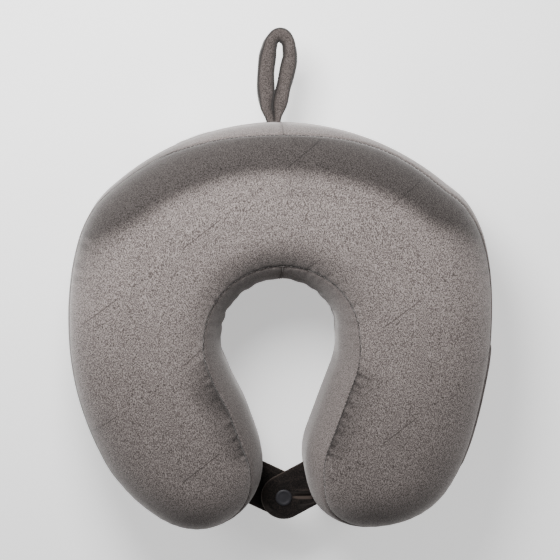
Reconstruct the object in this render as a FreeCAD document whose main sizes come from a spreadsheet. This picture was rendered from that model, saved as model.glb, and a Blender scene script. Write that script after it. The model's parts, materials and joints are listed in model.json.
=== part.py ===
"""U-shaped travel neck pillow: a moulded foam core in a knitted liner, inside a zipped velour cover.

The pillow lies on its bottom panel, +Z up. +Y points to the back of the neck and the hanging loop, and the
open end with its two snapped straps is at -Y. The origin is the bottom centre of the whole object's box.
All sizes are millimetres. Plan sizes are measured from the line that touches both lobe ends.
"""

import FreeCAD, Part

import math
import os

import Sketcher

Vector = FreeCAD.Vector
Placement = FreeCAD.Placement
Rotation = FreeCAD.Rotation

UP = Vector(0, 0, 1)
RIGHT = Vector(1, 0, 0)

DRIVING_DIMENSIONS = {
    # Plan outline at the widest level, and the rolled edges
    "pillow_width": 300.0,
    "pillow_length": 289.0,
    "overall_length": 355.0,
    "pillow_height": 110.0,
    "edge_roll": 38.0,
    "back_radius": 180.0,
    "shoulder_radius": 80.0,
    "side_centre": 148.0,
    "lobe_side": 61.5,
    "lobe_outer_radius": 63.0,
    "lobe_inner_radius": 49.0,
    "neck_centre": 137.0,
    "neck_radius": 39.5,
    # Layers, from the outside in
    "cover_thickness": 3.0,
    "liner_thickness": 1.0,
    "layer_gap": 0.2,
    "seam_gap": 0.2,
    "top_seam_inset": 10.0,
    "bottom_seam_inset": 8.0,
    # Zipper in the bottom seam, on one arc round the back
    "zipper_angle": 76.0,
    "zipper_slot": 12.0,
    "tape_depth": 1.5,
    "tape_thickness": 0.4,
    "chain_gap": 1.2,
    "coil_width": 1.8,
    "coil_height": 1.1,
    "slider_angle": 3.0,
    "slider_width": 8.0,
    "slider_plate": 1.0,
    "slider_web": 0.6,
    "slider_play": 0.3,
    "arch_rise": 2.6,
    "arch_reach": 6.4,
    "arch_width": 1.6,
    "arch_bar": 0.9,
    "pull_length": 18.0,
    "pull_width": 5.6,
    "pull_thickness": 1.0,
    "pull_eye": 4.5,
    "pull_eye_width": 3.0,
    "stop_angle": 0.6,
    # Elastic in the bottom seam behind the neck, and the blank care label
    "elastic_angle": 136.0,
    "elastic_width": 5.8,
    "elastic_depth": 2.2,
    "elastic_thickness": 0.6,
    "label_angle": 8.0,
    "label_turn": 20.0,
    "label_bottom": 20.5,
    "label_top": 50.0,
    "label_thickness": 0.5,
    # Hanging loop in the seam at the centre of the back
    "loop_level": 55.0,
    "loop_root_gap": 2.5,
    "loop_root_width": 4.4,
    "loop_radius": 14.0,
    "loop_depth": 10.0,
    "loop_slot_width": 6.0,
    "loop_slot_start": 18.0,
    "loop_slot_end": 7.0,
    # Straps across the open end, and their snap
    "strap_width": 33.0,
    "strap_thickness": 3.2,
    "strap_level": 42.0,
    "strap_root": 50.9,
    "snap_right": 2.9,
    "snap_forward": 17.6,
    "snap_cap_radius": 6.0,
    "snap_cap_height": 1.2,
    "snap_base_radius": 5.0,
    "snap_base_height": 0.8,
    "snap_stud_radius": 2.0,
    "snap_stud_height": 1.7,
    "snap_socket_radius": 5.5,
    "snap_socket_height": 2.2,
    "snap_play": 0.3,
    "snap_pin_radius": 1.0,
    "snap_pin_play": 0.1,
    # Phone pocket on the right outer side
    "pocket_angle": 24.6,
    "pocket_turn": 16.4,
    "pocket_bottom": 17.0,
    "pocket_hem_bottom": 64.0,
    "pocket_top": 73.0,
    "pocket_gap": 0.3,
    "pocket_thickness": 1.5,
    "pocket_hem_thickness": 2.5,
}

doc = FreeCAD.newDocument("neck_pillow")
sheet = doc.addObject("Spreadsheet::Sheet", "dims")

for row, (alias, number) in enumerate(DRIVING_DIMENSIONS.items(), start=1):
    sheet.set(f"A{row}", alias)
    sheet.set(f"B{row}", str(number))
    sheet.setAlias(f"B{row}", alias)
doc.recompute()


class Size:
    """A length or angle worked out from the spreadsheet: its present value, and the rule that gives it."""

    def __init__(self, value, rule):
        self.value = value
        self.rule = rule

    def joined(self, sign, other, value):
        return Size(value, f"({self.rule} {sign} {as_size(other).rule})")

    def __add__(self, other):
        return self.joined("+", other, self.value + as_size(other).value)

    def __sub__(self, other):
        return self.joined("-", other, self.value - as_size(other).value)

    def __mul__(self, other):
        return self.joined("*", other, self.value * as_size(other).value)

    def __truediv__(self, other):
        return self.joined("/", other, self.value / as_size(other).value)

    def __neg__(self):
        return Size(-self.value, f"(0 - {self.rule})")


def as_size(thing):
    return thing if isinstance(thing, Size) else Size(float(thing), str(float(thing)))


def cell(alias):
    """The size in the spreadsheet cell with that alias."""
    return Size(float(sheet.get(alias)), f"<<dims>>.{alias}")


def square_root(size):
    return Size(math.sqrt(size.value), f"sqrt({size.rule})")


def bind(thing, prop, size):
    thing.setExpression(prop, as_size(size).rule)


# Sizes that several sub-parts share
ROLL = cell("edge_roll")
LOBE_ENDS = -cell("overall_length") / 2
BACK_CENTRE = cell("pillow_length") - cell("back_radius")
LOBE_REACH = cell("pillow_width") / 2 - cell("lobe_side")
LOBE_RISE = cell("side_centre") - cell("lobe_outer_radius")
SIDE_RADIUS = (
    LOBE_REACH * LOBE_REACH + LOBE_RISE * LOBE_RISE - cell("lobe_outer_radius") * cell("lobe_outer_radius")
) / ((LOBE_REACH - cell("lobe_outer_radius")) * 2)
SIDE_CENTRE_RIGHT = cell("pillow_width") / 2 - SIDE_RADIUS
SEAM_REACH = ROLL - cell("bottom_seam_inset")
SEAM_DROP = square_root(ROLL * ROLL - SEAM_REACH * SEAM_REACH)
SEAM_LEVEL = ROLL - SEAM_DROP
SEAM_TILT = math.degrees(math.atan2(SEAM_DROP.value, SEAM_REACH.value))
LINER_INSET = cell("cover_thickness") + cell("layer_gap")
FOAM_INSET = LINER_INSET + cell("liner_thickness") + cell("layer_gap")
ZIPPER_RADIUS = cell("back_radius") - cell("bottom_seam_inset")
PARKED_TURN = cell("zipper_angle").value / 2 - cell("slider_angle").value / 2 - cell("slider_play").value
LOOP_LENGTH = cell("overall_length") - cell("pillow_length") - cell("loop_root_gap")
LOWER_LEVEL = cell("strap_level")
UPPER_LEVEL = (
    LOWER_LEVEL
    + cell("strap_thickness")
    + cell("snap_base_height")
    + cell("snap_play")
    + cell("snap_socket_height")
)
OVERSHOOT = as_size(5.0)
LEVEL_TOLERANCE = 1e-6


# Document helpers ---------------------------------------------------------------------------------


def new_body(label, right=0, back=0, up=0, turn=0.0):
    """A body whose own origin is bound to a plan position, and turned about its vertical axis."""
    body = doc.addObject("PartDesign::Body", label)
    body.Label = label
    body.Placement = Placement(Vector(0, 0, 0), Rotation(UP, turn))
    bind(body, "Placement.Base.x", right)
    bind(body, "Placement.Base.y", LOBE_ENDS + back)
    bind(body, "Placement.Base.z", up)
    return body


def origin_part(body, role):
    return next(part for part in body.Origin.OriginFeatures if part.Role == role)


def new_sketch(body, name, role, offset=(0, 0, 0), tilt_axis=UP, tilt=0.0):
    """A sketch on one of the body's origin planes, shifted and tilted in that plane's own frame."""
    sketch = body.newObject("Sketcher::SketchObject", name)
    sketch.AttachmentSupport = [(origin_part(body, role), "")]
    sketch.MapMode = "FlatFace"
    sketch.AttachmentOffset = Placement(Vector(0, 0, 0), Rotation(tilt_axis, tilt))
    for axis, distance in zip("xyz", offset):
        bind(sketch, f"AttachmentOffset.Base.{axis}", distance)
    return sketch


def constrain(sketch, kind, *where, size):
    """A dimension in the sketch, bound to its rule."""
    number = sketch.addConstraint(Sketcher.Constraint(kind, *where, size.value))
    bind(sketch, f"Constraints[{number}]", size)


def fix_point(sketch, item, end, x, y):
    constrain(sketch, "DistanceX", -1, 1, item, end, size=as_size(x))
    constrain(sketch, "DistanceY", -1, 1, item, end, size=as_size(y))


def draw_polygon(sketch, points):
    """A closed run of straight lines through points given as pairs of sizes."""
    sized = [(as_size(x), as_size(y)) for x, y in points]
    spots = [Vector(x.value, y.value, 0) for x, y in sized]
    lines = [
        sketch.addGeometry(Part.LineSegment(start, end), False)
        for start, end in zip(spots, spots[1:] + spots[:1])
    ]
    for line, following in zip(lines, lines[1:] + lines[:1]):
        sketch.addConstraint(Sketcher.Constraint("Coincident", line, 2, following, 1))
    for line, (x, y) in zip(lines, sized):
        fix_point(sketch, line, 1, x, y)


def draw_box(sketch, left, right, bottom, top):
    draw_polygon(sketch, [(left, bottom), (right, bottom), (right, top), (left, top)])


def draw_circle(sketch, x, y, radius):
    x, y, radius = as_size(x), as_size(y), as_size(radius)
    circle = sketch.addGeometry(Part.Circle(Vector(x.value, y.value, 0), UP, radius.value), False)
    fix_point(sketch, circle, 3, x, y)
    constrain(sketch, "Radius", circle, size=radius)


def add_arc(sketch, centre, radius, start, end):
    """An arc, anticlockwise between two angles in radians."""
    circle = Part.Circle(Vector(centre[0], centre[1], 0), UP, radius)
    return sketch.addGeometry(Part.ArcOfCircle(circle, start, end), False)


def add_line(sketch, start, end):
    return sketch.addGeometry(Part.LineSegment(Vector(*start, 0), Vector(*end, 0)), False)


def join_tangent(sketch, first, first_end, second, second_end):
    sketch.addConstraint(Sketcher.Constraint("Tangent", first, first_end, second, second_end))


def pad(body, sketch, name, length, centred=False):
    feature = body.newObject("PartDesign::Pad", name)
    feature.Profile = sketch
    feature.SideType = "Symmetric" if centred else "One side"
    bind(feature, "Length", length)
    return feature


def revolve(body, sketch, name, angle=360):
    """Turns the sketch about the body's vertical axis, half the angle to each side."""
    feature = body.newObject("PartDesign::Revolution", name)
    feature.Profile = sketch
    feature.ReferenceAxis = (origin_part(body, "Z_Axis"), [""])
    feature.Midplane = True
    bind(feature, "Angle", angle)
    return feature


def combine(kind, label, base, tool):
    """A boolean of two objects: kind is Cut, Common or Fuse."""
    feature = doc.addObject(f"Part::{kind}", label)
    feature.Label = label
    feature.Base = base
    feature.Tool = tool
    return feature


def roll_angle(radius, level):
    """Where a rolled edge of that radius is at that level, in radians below its widest point."""
    return math.asin((level - ROLL.value) / radius)


# Plan outline -------------------------------------------------------------------------------------


def crossing(first, first_radius, second, second_radius):
    """The crossing of two circles that lies further back."""
    gap = math.dist(first, second)
    along = (first_radius**2 - second_radius**2 + gap**2) / (2 * gap)
    aside = math.sqrt(first_radius**2 - along**2)
    ux, uy = (second[0] - first[0]) / gap, (second[1] - first[1]) / gap
    base = (first[0] + along * ux, first[1] + along * uy)
    options = [(base[0] - side * aside * uy, base[1] + side * aside * ux) for side in (1, -1)]
    return max(options, key=lambda point: point[1])


def direction(start, end):
    return math.atan2(end[1] - start[1], end[0] - start[0])


def draw_outline(sketch, inset):
    """The U in plan, moved in by the inset: five arcs and a straight flank on each side, all tangent."""
    inset = as_size(inset)
    back_radius = cell("back_radius") - inset
    shoulder_radius = cell("shoulder_radius") - inset
    side_radius = SIDE_RADIUS - inset
    outer_radius = cell("lobe_outer_radius") - inset
    inner_radius = cell("lobe_inner_radius") - inset
    neck_radius = cell("neck_radius") + inset

    back = (0.0, BACK_CENTRE.value)
    side = (SIDE_CENTRE_RIGHT.value, cell("side_centre").value)
    outer = (cell("lobe_side").value, cell("lobe_outer_radius").value)
    inner = (cell("lobe_side").value, cell("lobe_inner_radius").value)
    neck = (0.0, cell("neck_centre").value)
    shoulder = crossing(
        back, (back_radius - shoulder_radius).value, side, (side_radius - shoulder_radius).value
    )
    back_joint = direction(back, shoulder)
    side_joint = direction(side, shoulder)
    lobe_joint = direction(side, outer)
    lean = math.acos((inner_radius + neck_radius).value / math.dist(inner, neck))
    flank_joint = direction(inner, neck) + lean
    flank_low = [inner[i] + inner_radius.value * f(flank_joint) for i, f in enumerate((math.cos, math.sin))]
    flank_high = [neck[i] - neck_radius.value * f(flank_joint) for i, f in enumerate((math.cos, math.sin))]

    def mirrored(point):
        return (-point[0], point[1])

    def flipped(angle):
        return math.pi - angle

    down = -math.pi / 2
    right_outer = add_arc(sketch, outer, outer_radius.value, down, lobe_joint)
    right_side = add_arc(sketch, side, side_radius.value, lobe_joint, side_joint)
    right_shoulder = add_arc(sketch, shoulder, shoulder_radius.value, side_joint, back_joint)
    back_arc = add_arc(sketch, back, back_radius.value, back_joint, flipped(back_joint))
    left_shoulder = add_arc(
        sketch, mirrored(shoulder), shoulder_radius.value, flipped(back_joint), flipped(side_joint)
    )
    left_side = add_arc(sketch, mirrored(side), side_radius.value, flipped(side_joint), flipped(lobe_joint))
    left_outer = add_arc(sketch, mirrored(outer), outer_radius.value, flipped(lobe_joint), flipped(down))
    left_inner = add_arc(sketch, mirrored(inner), inner_radius.value, down, flipped(flank_joint))
    left_flank = add_line(sketch, mirrored(flank_low), mirrored(flank_high))
    neck_arc = add_arc(sketch, neck, neck_radius.value, flank_joint - math.pi, -flank_joint + 2 * math.pi)
    right_flank = add_line(sketch, flank_high, flank_low)
    right_inner = add_arc(sketch, inner, inner_radius.value, flank_joint, 2 * math.pi + down)

    loop = [
        right_outer, right_side, right_shoulder, back_arc, left_shoulder, left_side,
        left_outer, left_inner, left_flank, neck_arc, right_flank, right_inner,
    ]
    for edge, following in zip(loop, loop[1:] + loop[:1]):
        edge_end = 1 if edge == neck_arc else 2
        following_start = 2 if following == neck_arc else 1
        join_tangent(sketch, edge, edge_end, following, following_start)

    fix_point(sketch, back_arc, 3, 0, BACK_CENTRE)
    fix_point(sketch, neck_arc, 3, 0, cell("neck_centre"))
    fix_point(sketch, right_outer, 3, cell("lobe_side"), cell("lobe_outer_radius"))
    fix_point(sketch, left_outer, 3, -cell("lobe_side"), cell("lobe_outer_radius"))
    constrain(sketch, "DistanceX", -1, 1, right_inner, 3, size=cell("lobe_side"))
    constrain(sketch, "DistanceX", -1, 1, left_inner, 3, size=-cell("lobe_side"))
    for arc in (right_side, left_side):
        constrain(sketch, "DistanceY", -1, 1, arc, 3, size=cell("side_centre"))
    for arcs, radius in (
        ((back_arc,), back_radius),
        ((neck_arc,), neck_radius),
        ((right_shoulder, left_shoulder), shoulder_radius),
        ((right_side, left_side), side_radius),
        ((right_outer, left_outer), outer_radius),
        ((right_inner, left_inner), inner_radius),
    ):
        for arc in arcs:
            constrain(sketch, "Radius", arc, size=radius)


# The pillow's layers ------------------------------------------------------------------------------


def rolled_block(label, inset):
    """The whole pillow's form, every face moved in by the inset."""
    body = new_body(label)
    sketch = new_sketch(body, "Outline", "XY_Plane", offset=(0, 0, inset))
    draw_outline(sketch, inset)
    block = pad(body, sketch, "Block", cell("pillow_height") - as_size(inset) * 2)
    doc.recompute()
    rims = [
        f"Edge{number}"
        for number, edge in enumerate(block.Shape.Edges, start=1)
        if edge.BoundBox.ZLength < LEVEL_TOLERANCE
    ]
    roll = body.newObject("PartDesign::Fillet", "RolledEdges")
    roll.Base = (block, rims)
    bind(roll, "Radius", ROLL - inset)
    return body


def upright_block(label, inset, bottom, top):
    """The plan outline moved in by the inset, standing upright between two levels."""
    body = new_body(label)
    sketch = new_sketch(body, "Outline", "XY_Plane", offset=(0, 0, bottom))
    draw_outline(sketch, inset)
    pad(body, sketch, "Block", as_size(top) - bottom)
    return body


def half_space(label, left, bottom):
    """A box that holds everything to the right of one plane and above another."""
    box = doc.addObject("Part::Box", label)
    reach = cell("overall_length") * 2
    for side in ("Length", "Width", "Height"):
        bind(box, side, reach)
    bind(box, "Placement.Base.x", left)
    bind(box, "Placement.Base.y", -reach / 2)
    bind(box, "Placement.Base.z", bottom)
    return box


def seam_section(body, name):
    """A sketch across the bottom seam: x points out of the surface and y up along it."""
    return new_sketch(
        body, name, "YZ_Plane", offset=(ZIPPER_RADIUS, SEAM_LEVEL, 0), tilt=-SEAM_TILT
    )


def make_zipper_opening():
    body = new_body("zipper_opening", back=BACK_CENTRE)
    sketch = seam_section(body, "Section")
    half = cell("zipper_slot") / 2
    draw_box(sketch, -(LINER_INSET + cell("layer_gap")), cell("cover_thickness"), -half, half)
    revolve(body, sketch, "Opening", cell("zipper_angle") + cell("stop_angle") * 2)
    return body


def elastic_section(body, name):
    """A sketch across the neck's bottom seam: x points into the pillow and y up along its surface."""
    radius = cell("neck_radius") + cell("bottom_seam_inset")
    return new_sketch(body, name, "YZ_Plane", offset=(radius, SEAM_LEVEL, 0), tilt=SEAM_TILT)


def elastic_strip(label, play):
    """The elastic's own strip, grown all round by the play."""
    body = new_body(label, back=cell("neck_centre"))
    sketch = elastic_section(body, "Section")
    half = cell("elastic_width") / 2 + play
    depth = cell("elastic_depth")
    draw_box(sketch, depth - play, depth + cell("elastic_thickness") + play, -half, half)
    revolve(body, sketch, "Strip", cell("elastic_angle") + as_size(play) * 2)
    return body


def make_foam_core():
    return rolled_block("foam_core", FOAM_INSET)


def make_liner():
    """The knitted inner cover: an upper and a lower half, sewn together half way up."""
    shell = combine(
        "Cut",
        "liner_shell",
        rolled_block("liner_outside", LINER_INSET),
        rolled_block("liner_inside", LINER_INSET + cell("liner_thickness")),
    )
    seam = cell("pillow_height") / 2
    gap = cell("seam_gap") / 2
    far = -cell("overall_length")
    above = half_space("above_liner_seam", far, seam + gap)
    from_seam = half_space("from_liner_seam", far, seam - gap)
    upper = combine("Common", "liner_upper", shell, above)
    lower = combine("Cut", "liner_lower", shell, from_seam)
    return [upper, lower]


def make_cover():
    """Top panel, bottom panel and the two halves of the side band, parted along the seams."""
    shell = combine(
        "Cut",
        "cover_shell",
        rolled_block("cover_outside", 0),
        rolled_block("cover_inside", cell("cover_thickness")),
    )
    channel = elastic_strip("elastic_channel", cell("seam_gap") / 2)
    opened = combine("Cut", "cover_with_opening", shell, make_zipper_opening())
    open_shell = combine("Cut", "cover_with_channel", opened, channel)

    middle = cell("pillow_height") / 2
    beyond_top = cell("pillow_height") + OVERSHOOT
    gap = cell("seam_gap") / 2
    top_inset = cell("top_seam_inset")
    bottom_inset = cell("bottom_seam_inset")
    top_inside = upright_block("top_panel_zone", top_inset + gap, middle, beyond_top)
    top_zone = upright_block("band_top_zone", top_inset - gap, middle, beyond_top)
    bottom_inside = upright_block("bottom_panel_zone", bottom_inset + gap, -OVERSHOOT, middle)
    bottom_zone = upright_block("band_bottom_zone", bottom_inset - gap, -OVERSHOOT, middle)

    top_panel = combine("Common", "cover_top_panel", open_shell, top_inside)
    bottom_panel = combine("Common", "cover_bottom_panel", open_shell, bottom_inside)
    band_open_top = combine("Cut", "band_open_top", open_shell, top_zone)
    band = combine("Cut", "side_band", band_open_top, bottom_zone)
    below = -cell("pillow_height")
    right_half = half_space("right_of_centre_seam", gap, below)
    from_centre = half_space("from_centre_seam", -gap, below)
    band_right = combine("Common", "side_band_right", band, right_half)
    band_left = combine("Cut", "side_band_left", band, from_centre)
    return [top_panel, bottom_panel, band_right, band_left]


# Zipper, elastic and label ------------------------------------------------------------------------


def zipper_strip(label, depth, thickness, near, far):
    """A strip that follows the zipper, between two distances from the middle of the chain."""
    body = new_body(label, back=BACK_CENTRE)
    sketch = seam_section(body, "Section")
    draw_box(sketch, -as_size(depth), -as_size(depth) + thickness, near, far)
    revolve(body, sketch, "Strip", cell("zipper_angle"))
    return body


def make_zipper_chain():
    """Two tapes and the two coils sewn on them, with the slider's web free to run between the coils."""
    near = cell("chain_gap") / 2
    edge = cell("zipper_slot") / 2
    coil_edge = near + cell("coil_width")
    thickness = cell("tape_thickness")
    tape_back = cell("tape_depth") + thickness
    height = cell("coil_height")
    depth = cell("tape_depth")
    return [
        zipper_strip("zipper_tape_upper", tape_back, thickness, near, edge),
        zipper_strip("zipper_tape_lower", tape_back, thickness, -edge, -near),
        zipper_strip("zipper_coil_upper", depth, height, near, coil_edge),
        zipper_strip("zipper_coil_lower", depth, height, -coil_edge, -near),
    ]


def make_zipper_stop(label, side):
    """A metal crimp across both tapes, just past one end of the chain."""
    turn = side * (cell("zipper_angle").value + cell("stop_angle").value) / 2
    body = new_body(label, back=BACK_CENTRE, turn=turn)
    sketch = seam_section(body, "Section")
    half = cell("chain_gap") / 2 + cell("coil_width")
    back = cell("tape_depth") + cell("tape_thickness")
    draw_box(sketch, -back, cell("coil_height") - cell("tape_depth"), -half, half)
    revolve(body, sketch, "Crimp", cell("stop_angle"))
    return body


def along_seam_section(body, name):
    """A sketch in the plane of the chain's run: x goes along the seam and y out of the surface."""
    return new_sketch(
        body,
        name,
        "XY_Plane",
        offset=(0, ZIPPER_RADIUS, SEAM_LEVEL),
        tilt_axis=RIGHT,
        tilt=-SEAM_TILT,
    )


def slider_outer_face():
    """How far the slider's outer plate stands out of the surface."""
    coil_top = cell("coil_height") - cell("tape_depth")
    return coil_top + cell("slider_play") + cell("slider_plate")


def make_slider():
    """Outer and inner plates joined by a web between the coils, with an arch for the pull tab."""
    body = new_body("zipper_slider", back=BACK_CENTRE, turn=PARKED_TURN)
    play = cell("slider_play")
    half = cell("slider_width") / 2
    web = cell("slider_web") / 2
    outer_top = slider_outer_face()
    outer_bottom = outer_top - cell("slider_plate")
    inner_top = -(cell("tape_depth") + cell("tape_thickness") + play)
    inner_bottom = inner_top - cell("tape_thickness")
    section = seam_section(body, "Section")
    draw_polygon(section, [
        (inner_bottom, -half), (inner_top, -half), (inner_top, -web), (outer_bottom, -web),
        (outer_bottom, -half), (outer_top, -half), (outer_top, half), (outer_bottom, half),
        (outer_bottom, web), (inner_top, web), (inner_top, half), (inner_bottom, half),
    ])
    revolve(body, section, "Plates", cell("slider_angle"))
    arch = along_seam_section(body, "ArchProfile")
    reach = cell("arch_reach") / 2
    inside = reach - cell("arch_bar")
    crown = outer_top + cell("arch_rise")
    foot = outer_top - cell("slider_plate") / 2
    draw_polygon(arch, [
        (-reach, foot), (-inside, foot), (-inside, crown - cell("arch_bar")),
        (inside, crown - cell("arch_bar")), (inside, foot), (reach, foot), (reach, crown), (-reach, crown),
    ])
    pad(body, arch, "Arch", cell("arch_width"), centred=True)
    return body


def make_pull_tab():
    """A flat tab lying along the seam, with a round bar at its root that turns under the slider's arch."""
    body = new_body("zipper_pull_tab", back=BACK_CENTRE, turn=PARKED_TURN)
    thickness = cell("pull_thickness")
    half = thickness / 2
    middle = pull_tab_level()
    outline = along_seam_section(body, "Profile")
    draw_box(outline, 0, cell("pull_length"), middle - half, middle + half)
    pad(body, outline, "Tab", cell("pull_width"), centred=True)
    doc.recompute()
    eye = along_seam_section(body, "EyeProfile")
    clear = thickness * 2
    draw_box(eye, -thickness, cell("pull_eye"), middle - clear, middle + clear)
    window = body.newObject("PartDesign::Pocket", "Eye")
    window.Profile = eye
    window.SideType = "Symmetric"
    bind(window, "Length", cell("pull_eye_width"))
    bar = along_seam_section(body, "BarProfile")
    draw_circle(bar, 0, middle, half)
    pad(body, bar, "Bar", cell("pull_width"), centred=True)
    return body


def pull_tab_level():
    """The pull tab's pivot, half way between the slider's plate and the arch's underside."""
    return slider_outer_face() + (cell("arch_rise") - cell("arch_bar")) / 2


def hugging_strip(label, arc_radius, centre, role, turn, angle, gap, thickness, bottom, top):
    """A strip that lies on the side band and follows its rolled lower edge, turned about one plan arc."""
    body = new_body(label, right=centre[0], back=centre[1], turn=turn)
    sketch = new_sketch(body, "Section", role)
    reach = arc_radius - ROLL
    inner = ROLL + gap
    outer = inner + thickness
    middle = (reach.value, ROLL.value)
    inner_arc = add_arc(sketch, middle, inner.value, roll_angle(inner.value, bottom.value), 0)
    outer_arc = add_arc(sketch, middle, outer.value, roll_angle(outer.value, bottom.value), 0)
    inner_side = reach + inner
    outer_side = reach + outer
    rise = add_line(sketch, (inner_side.value, ROLL.value), (inner_side.value, top.value))
    across = add_line(sketch, (inner_side.value, top.value), (outer_side.value, top.value))
    fall = add_line(sketch, (outer_side.value, top.value), (outer_side.value, ROLL.value))
    inner_start = sketch.Geometry[inner_arc].StartPoint
    outer_start = sketch.Geometry[outer_arc].StartPoint
    hem = add_line(sketch, (outer_start.x, outer_start.y), (inner_start.x, inner_start.y))
    join_tangent(sketch, inner_arc, 2, rise, 1)
    join_tangent(sketch, outer_arc, 2, fall, 2)
    for first, second in ((rise, across), (across, fall)):
        sketch.addConstraint(Sketcher.Constraint("Coincident", first, 2, second, 1))
    sketch.addConstraint(Sketcher.Constraint("Coincident", hem, 1, outer_arc, 1))
    sketch.addConstraint(Sketcher.Constraint("Coincident", hem, 2, inner_arc, 1))
    sketch.addConstraint(Sketcher.Constraint("Vertical", rise))
    sketch.addConstraint(Sketcher.Constraint("Vertical", fall))
    sketch.addConstraint(Sketcher.Constraint("Horizontal", across))
    for arc, radius in ((inner_arc, inner), (outer_arc, outer)):
        fix_point(sketch, arc, 3, reach, ROLL)
        constrain(sketch, "Radius", arc, size=radius)
        constrain(sketch, "DistanceY", -1, 1, arc, 1, size=bottom)
    constrain(sketch, "DistanceY", -1, 1, across, 1, size=top)
    revolve(body, sketch, "Strip", angle)
    return body


def make_pocket():
    """The phone pocket's panel and its bound top hem, on the right outer side."""
    centre = (SIDE_CENTRE_RIGHT, cell("side_centre"))
    turn = -cell("pocket_turn").value
    panel = hugging_strip(
        "pocket_panel", SIDE_RADIUS, centre, "XZ_Plane", turn, cell("pocket_angle"), cell("pocket_gap"),
        cell("pocket_thickness"), cell("pocket_bottom"), cell("pocket_hem_bottom"),
    )
    hem = new_body("pocket_hem", right=centre[0], back=centre[1], turn=turn)
    section = new_sketch(hem, "Section", "XZ_Plane")
    near = SIDE_RADIUS + cell("pocket_gap")
    far = near + cell("pocket_hem_thickness")
    draw_box(section, near, far, cell("pocket_hem_bottom"), cell("pocket_top"))
    revolve(hem, section, "Hem", cell("pocket_angle"))
    return [panel, hem]


def make_care_label():
    """A blank label on the lower edge of the back band, to the left of the centre."""
    return hugging_strip(
        "care_label", cell("back_radius"), (as_size(0), BACK_CENTRE), "YZ_Plane",
        cell("label_turn").value, cell("label_angle"), cell("layer_gap"), cell("label_thickness"),
        cell("label_bottom"), cell("label_top"),
    )


# Hanging loop -------------------------------------------------------------------------------------


def make_hang_loop():
    """A teardrop of folded ribbon, narrow at its root in the seam, open along its middle."""
    body = new_body(
        "hang_loop", back=cell("pillow_length") + cell("loop_root_gap"), up=cell("loop_level")
    )
    profile = new_sketch(body, "Profile", "XY_Plane")
    radius = cell("loop_radius")
    root = cell("loop_root_width") / 2
    centre = LOOP_LENGTH - radius
    flare = math.atan2((radius - root).value, centre.value)
    touch = (radius.value * math.cos(flare), centre.value - radius.value * math.sin(flare))
    tip = add_arc(profile, (0, centre.value), radius.value, -flare, math.pi + flare)
    left = add_line(profile, (-touch[0], touch[1]), (-root.value, 0))
    base = add_line(profile, (-root.value, 0), (root.value, 0))
    right = add_line(profile, (root.value, 0), touch)
    join_tangent(profile, tip, 2, left, 1)
    join_tangent(profile, right, 2, tip, 1)
    profile.addConstraint(Sketcher.Constraint("Coincident", left, 2, base, 1))
    profile.addConstraint(Sketcher.Constraint("Coincident", base, 2, right, 1))
    fix_point(profile, tip, 3, 0, centre)
    constrain(profile, "Radius", tip, size=radius)
    fix_point(profile, base, 1, -root, 0)
    fix_point(profile, base, 2, root, 0)
    pad(body, profile, "Ribbon", cell("loop_depth"), centred=True)
    doc.recompute()
    slot = new_sketch(body, "SlotProfile", "XY_Plane")
    half = cell("loop_slot_width") / 2
    near = cell("loop_slot_start") + half
    far = LOOP_LENGTH - cell("loop_slot_end") - half
    near_end = add_arc(slot, (0, near.value), half.value, math.pi, 2 * math.pi)
    far_end = add_arc(slot, (0, far.value), half.value, 0, math.pi)
    slot_right = add_line(slot, (half.value, near.value), (half.value, far.value))
    slot_left = add_line(slot, (-half.value, far.value), (-half.value, near.value))
    join_tangent(slot, near_end, 2, slot_right, 1)
    join_tangent(slot, slot_right, 2, far_end, 1)
    join_tangent(slot, far_end, 2, slot_left, 1)
    join_tangent(slot, slot_left, 2, near_end, 1)
    for end, centre in ((near_end, near), (far_end, far)):
        fix_point(slot, end, 3, 0, centre)
        constrain(slot, "Radius", end, size=half)
    opening = body.newObject("PartDesign::Pocket", "Slot")
    opening.Profile = slot
    opening.SideType = "Symmetric"
    bind(opening, "Length", cell("loop_depth") * 2)
    return body


# Straps and snap ----------------------------------------------------------------------------------


def strap_layout(side):
    """Where a strap's hinge line is, its run to the snap, and its heading, on the lobe of that side."""
    lobe = (side * cell("lobe_side").value, cell("lobe_inner_radius").value)
    snap = (cell("snap_right").value, cell("snap_forward").value)
    heading = direction(lobe, snap)
    root = (
        lobe[0] + cell("strap_root").value * math.cos(heading),
        lobe[1] + cell("strap_root").value * math.sin(heading),
    )
    return root, math.dist(root, snap), heading


def make_strap(label, side, level):
    """A flat velour strap with a round end and a hole for the snap's pin."""
    root, run, heading = strap_layout(side)
    body = new_body(label, right=root[0], back=root[1], up=level, turn=math.degrees(heading))
    sketch = new_sketch(body, "Profile", "XY_Plane")
    half = cell("strap_width") / 2
    end = add_arc(sketch, (run, 0), half.value, -math.pi / 2, math.pi / 2)
    left = add_line(sketch, (run, half.value), (0, half.value))
    root_edge = add_line(sketch, (0, half.value), (0, -half.value))
    right = add_line(sketch, (0, -half.value), (run, -half.value))
    join_tangent(sketch, right, 2, end, 1)
    join_tangent(sketch, end, 2, left, 1)
    sketch.addConstraint(Sketcher.Constraint("Coincident", left, 2, root_edge, 1))
    sketch.addConstraint(Sketcher.Constraint("Coincident", root_edge, 2, right, 1))
    fix_point(sketch, end, 3, run, 0)
    constrain(sketch, "Radius", end, size=half)
    fix_point(sketch, root_edge, 1, 0, half)
    fix_point(sketch, root_edge, 2, 0, -half)
    draw_circle(sketch, run, 0, cell("snap_pin_radius") + cell("snap_pin_play"))
    pad(body, sketch, "Strap", cell("strap_thickness"))
    return body


def turned(label, level, profile):
    """A piece turned about the snap's own axis from a half profile of radius and height pairs."""
    body = new_body(label, right=cell("snap_right"), back=cell("snap_forward"), up=level)
    sketch = new_sketch(body, "Profile", "XZ_Plane")
    draw_polygon(sketch, profile)
    revolve(body, sketch, "Turned")
    return body


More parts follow.
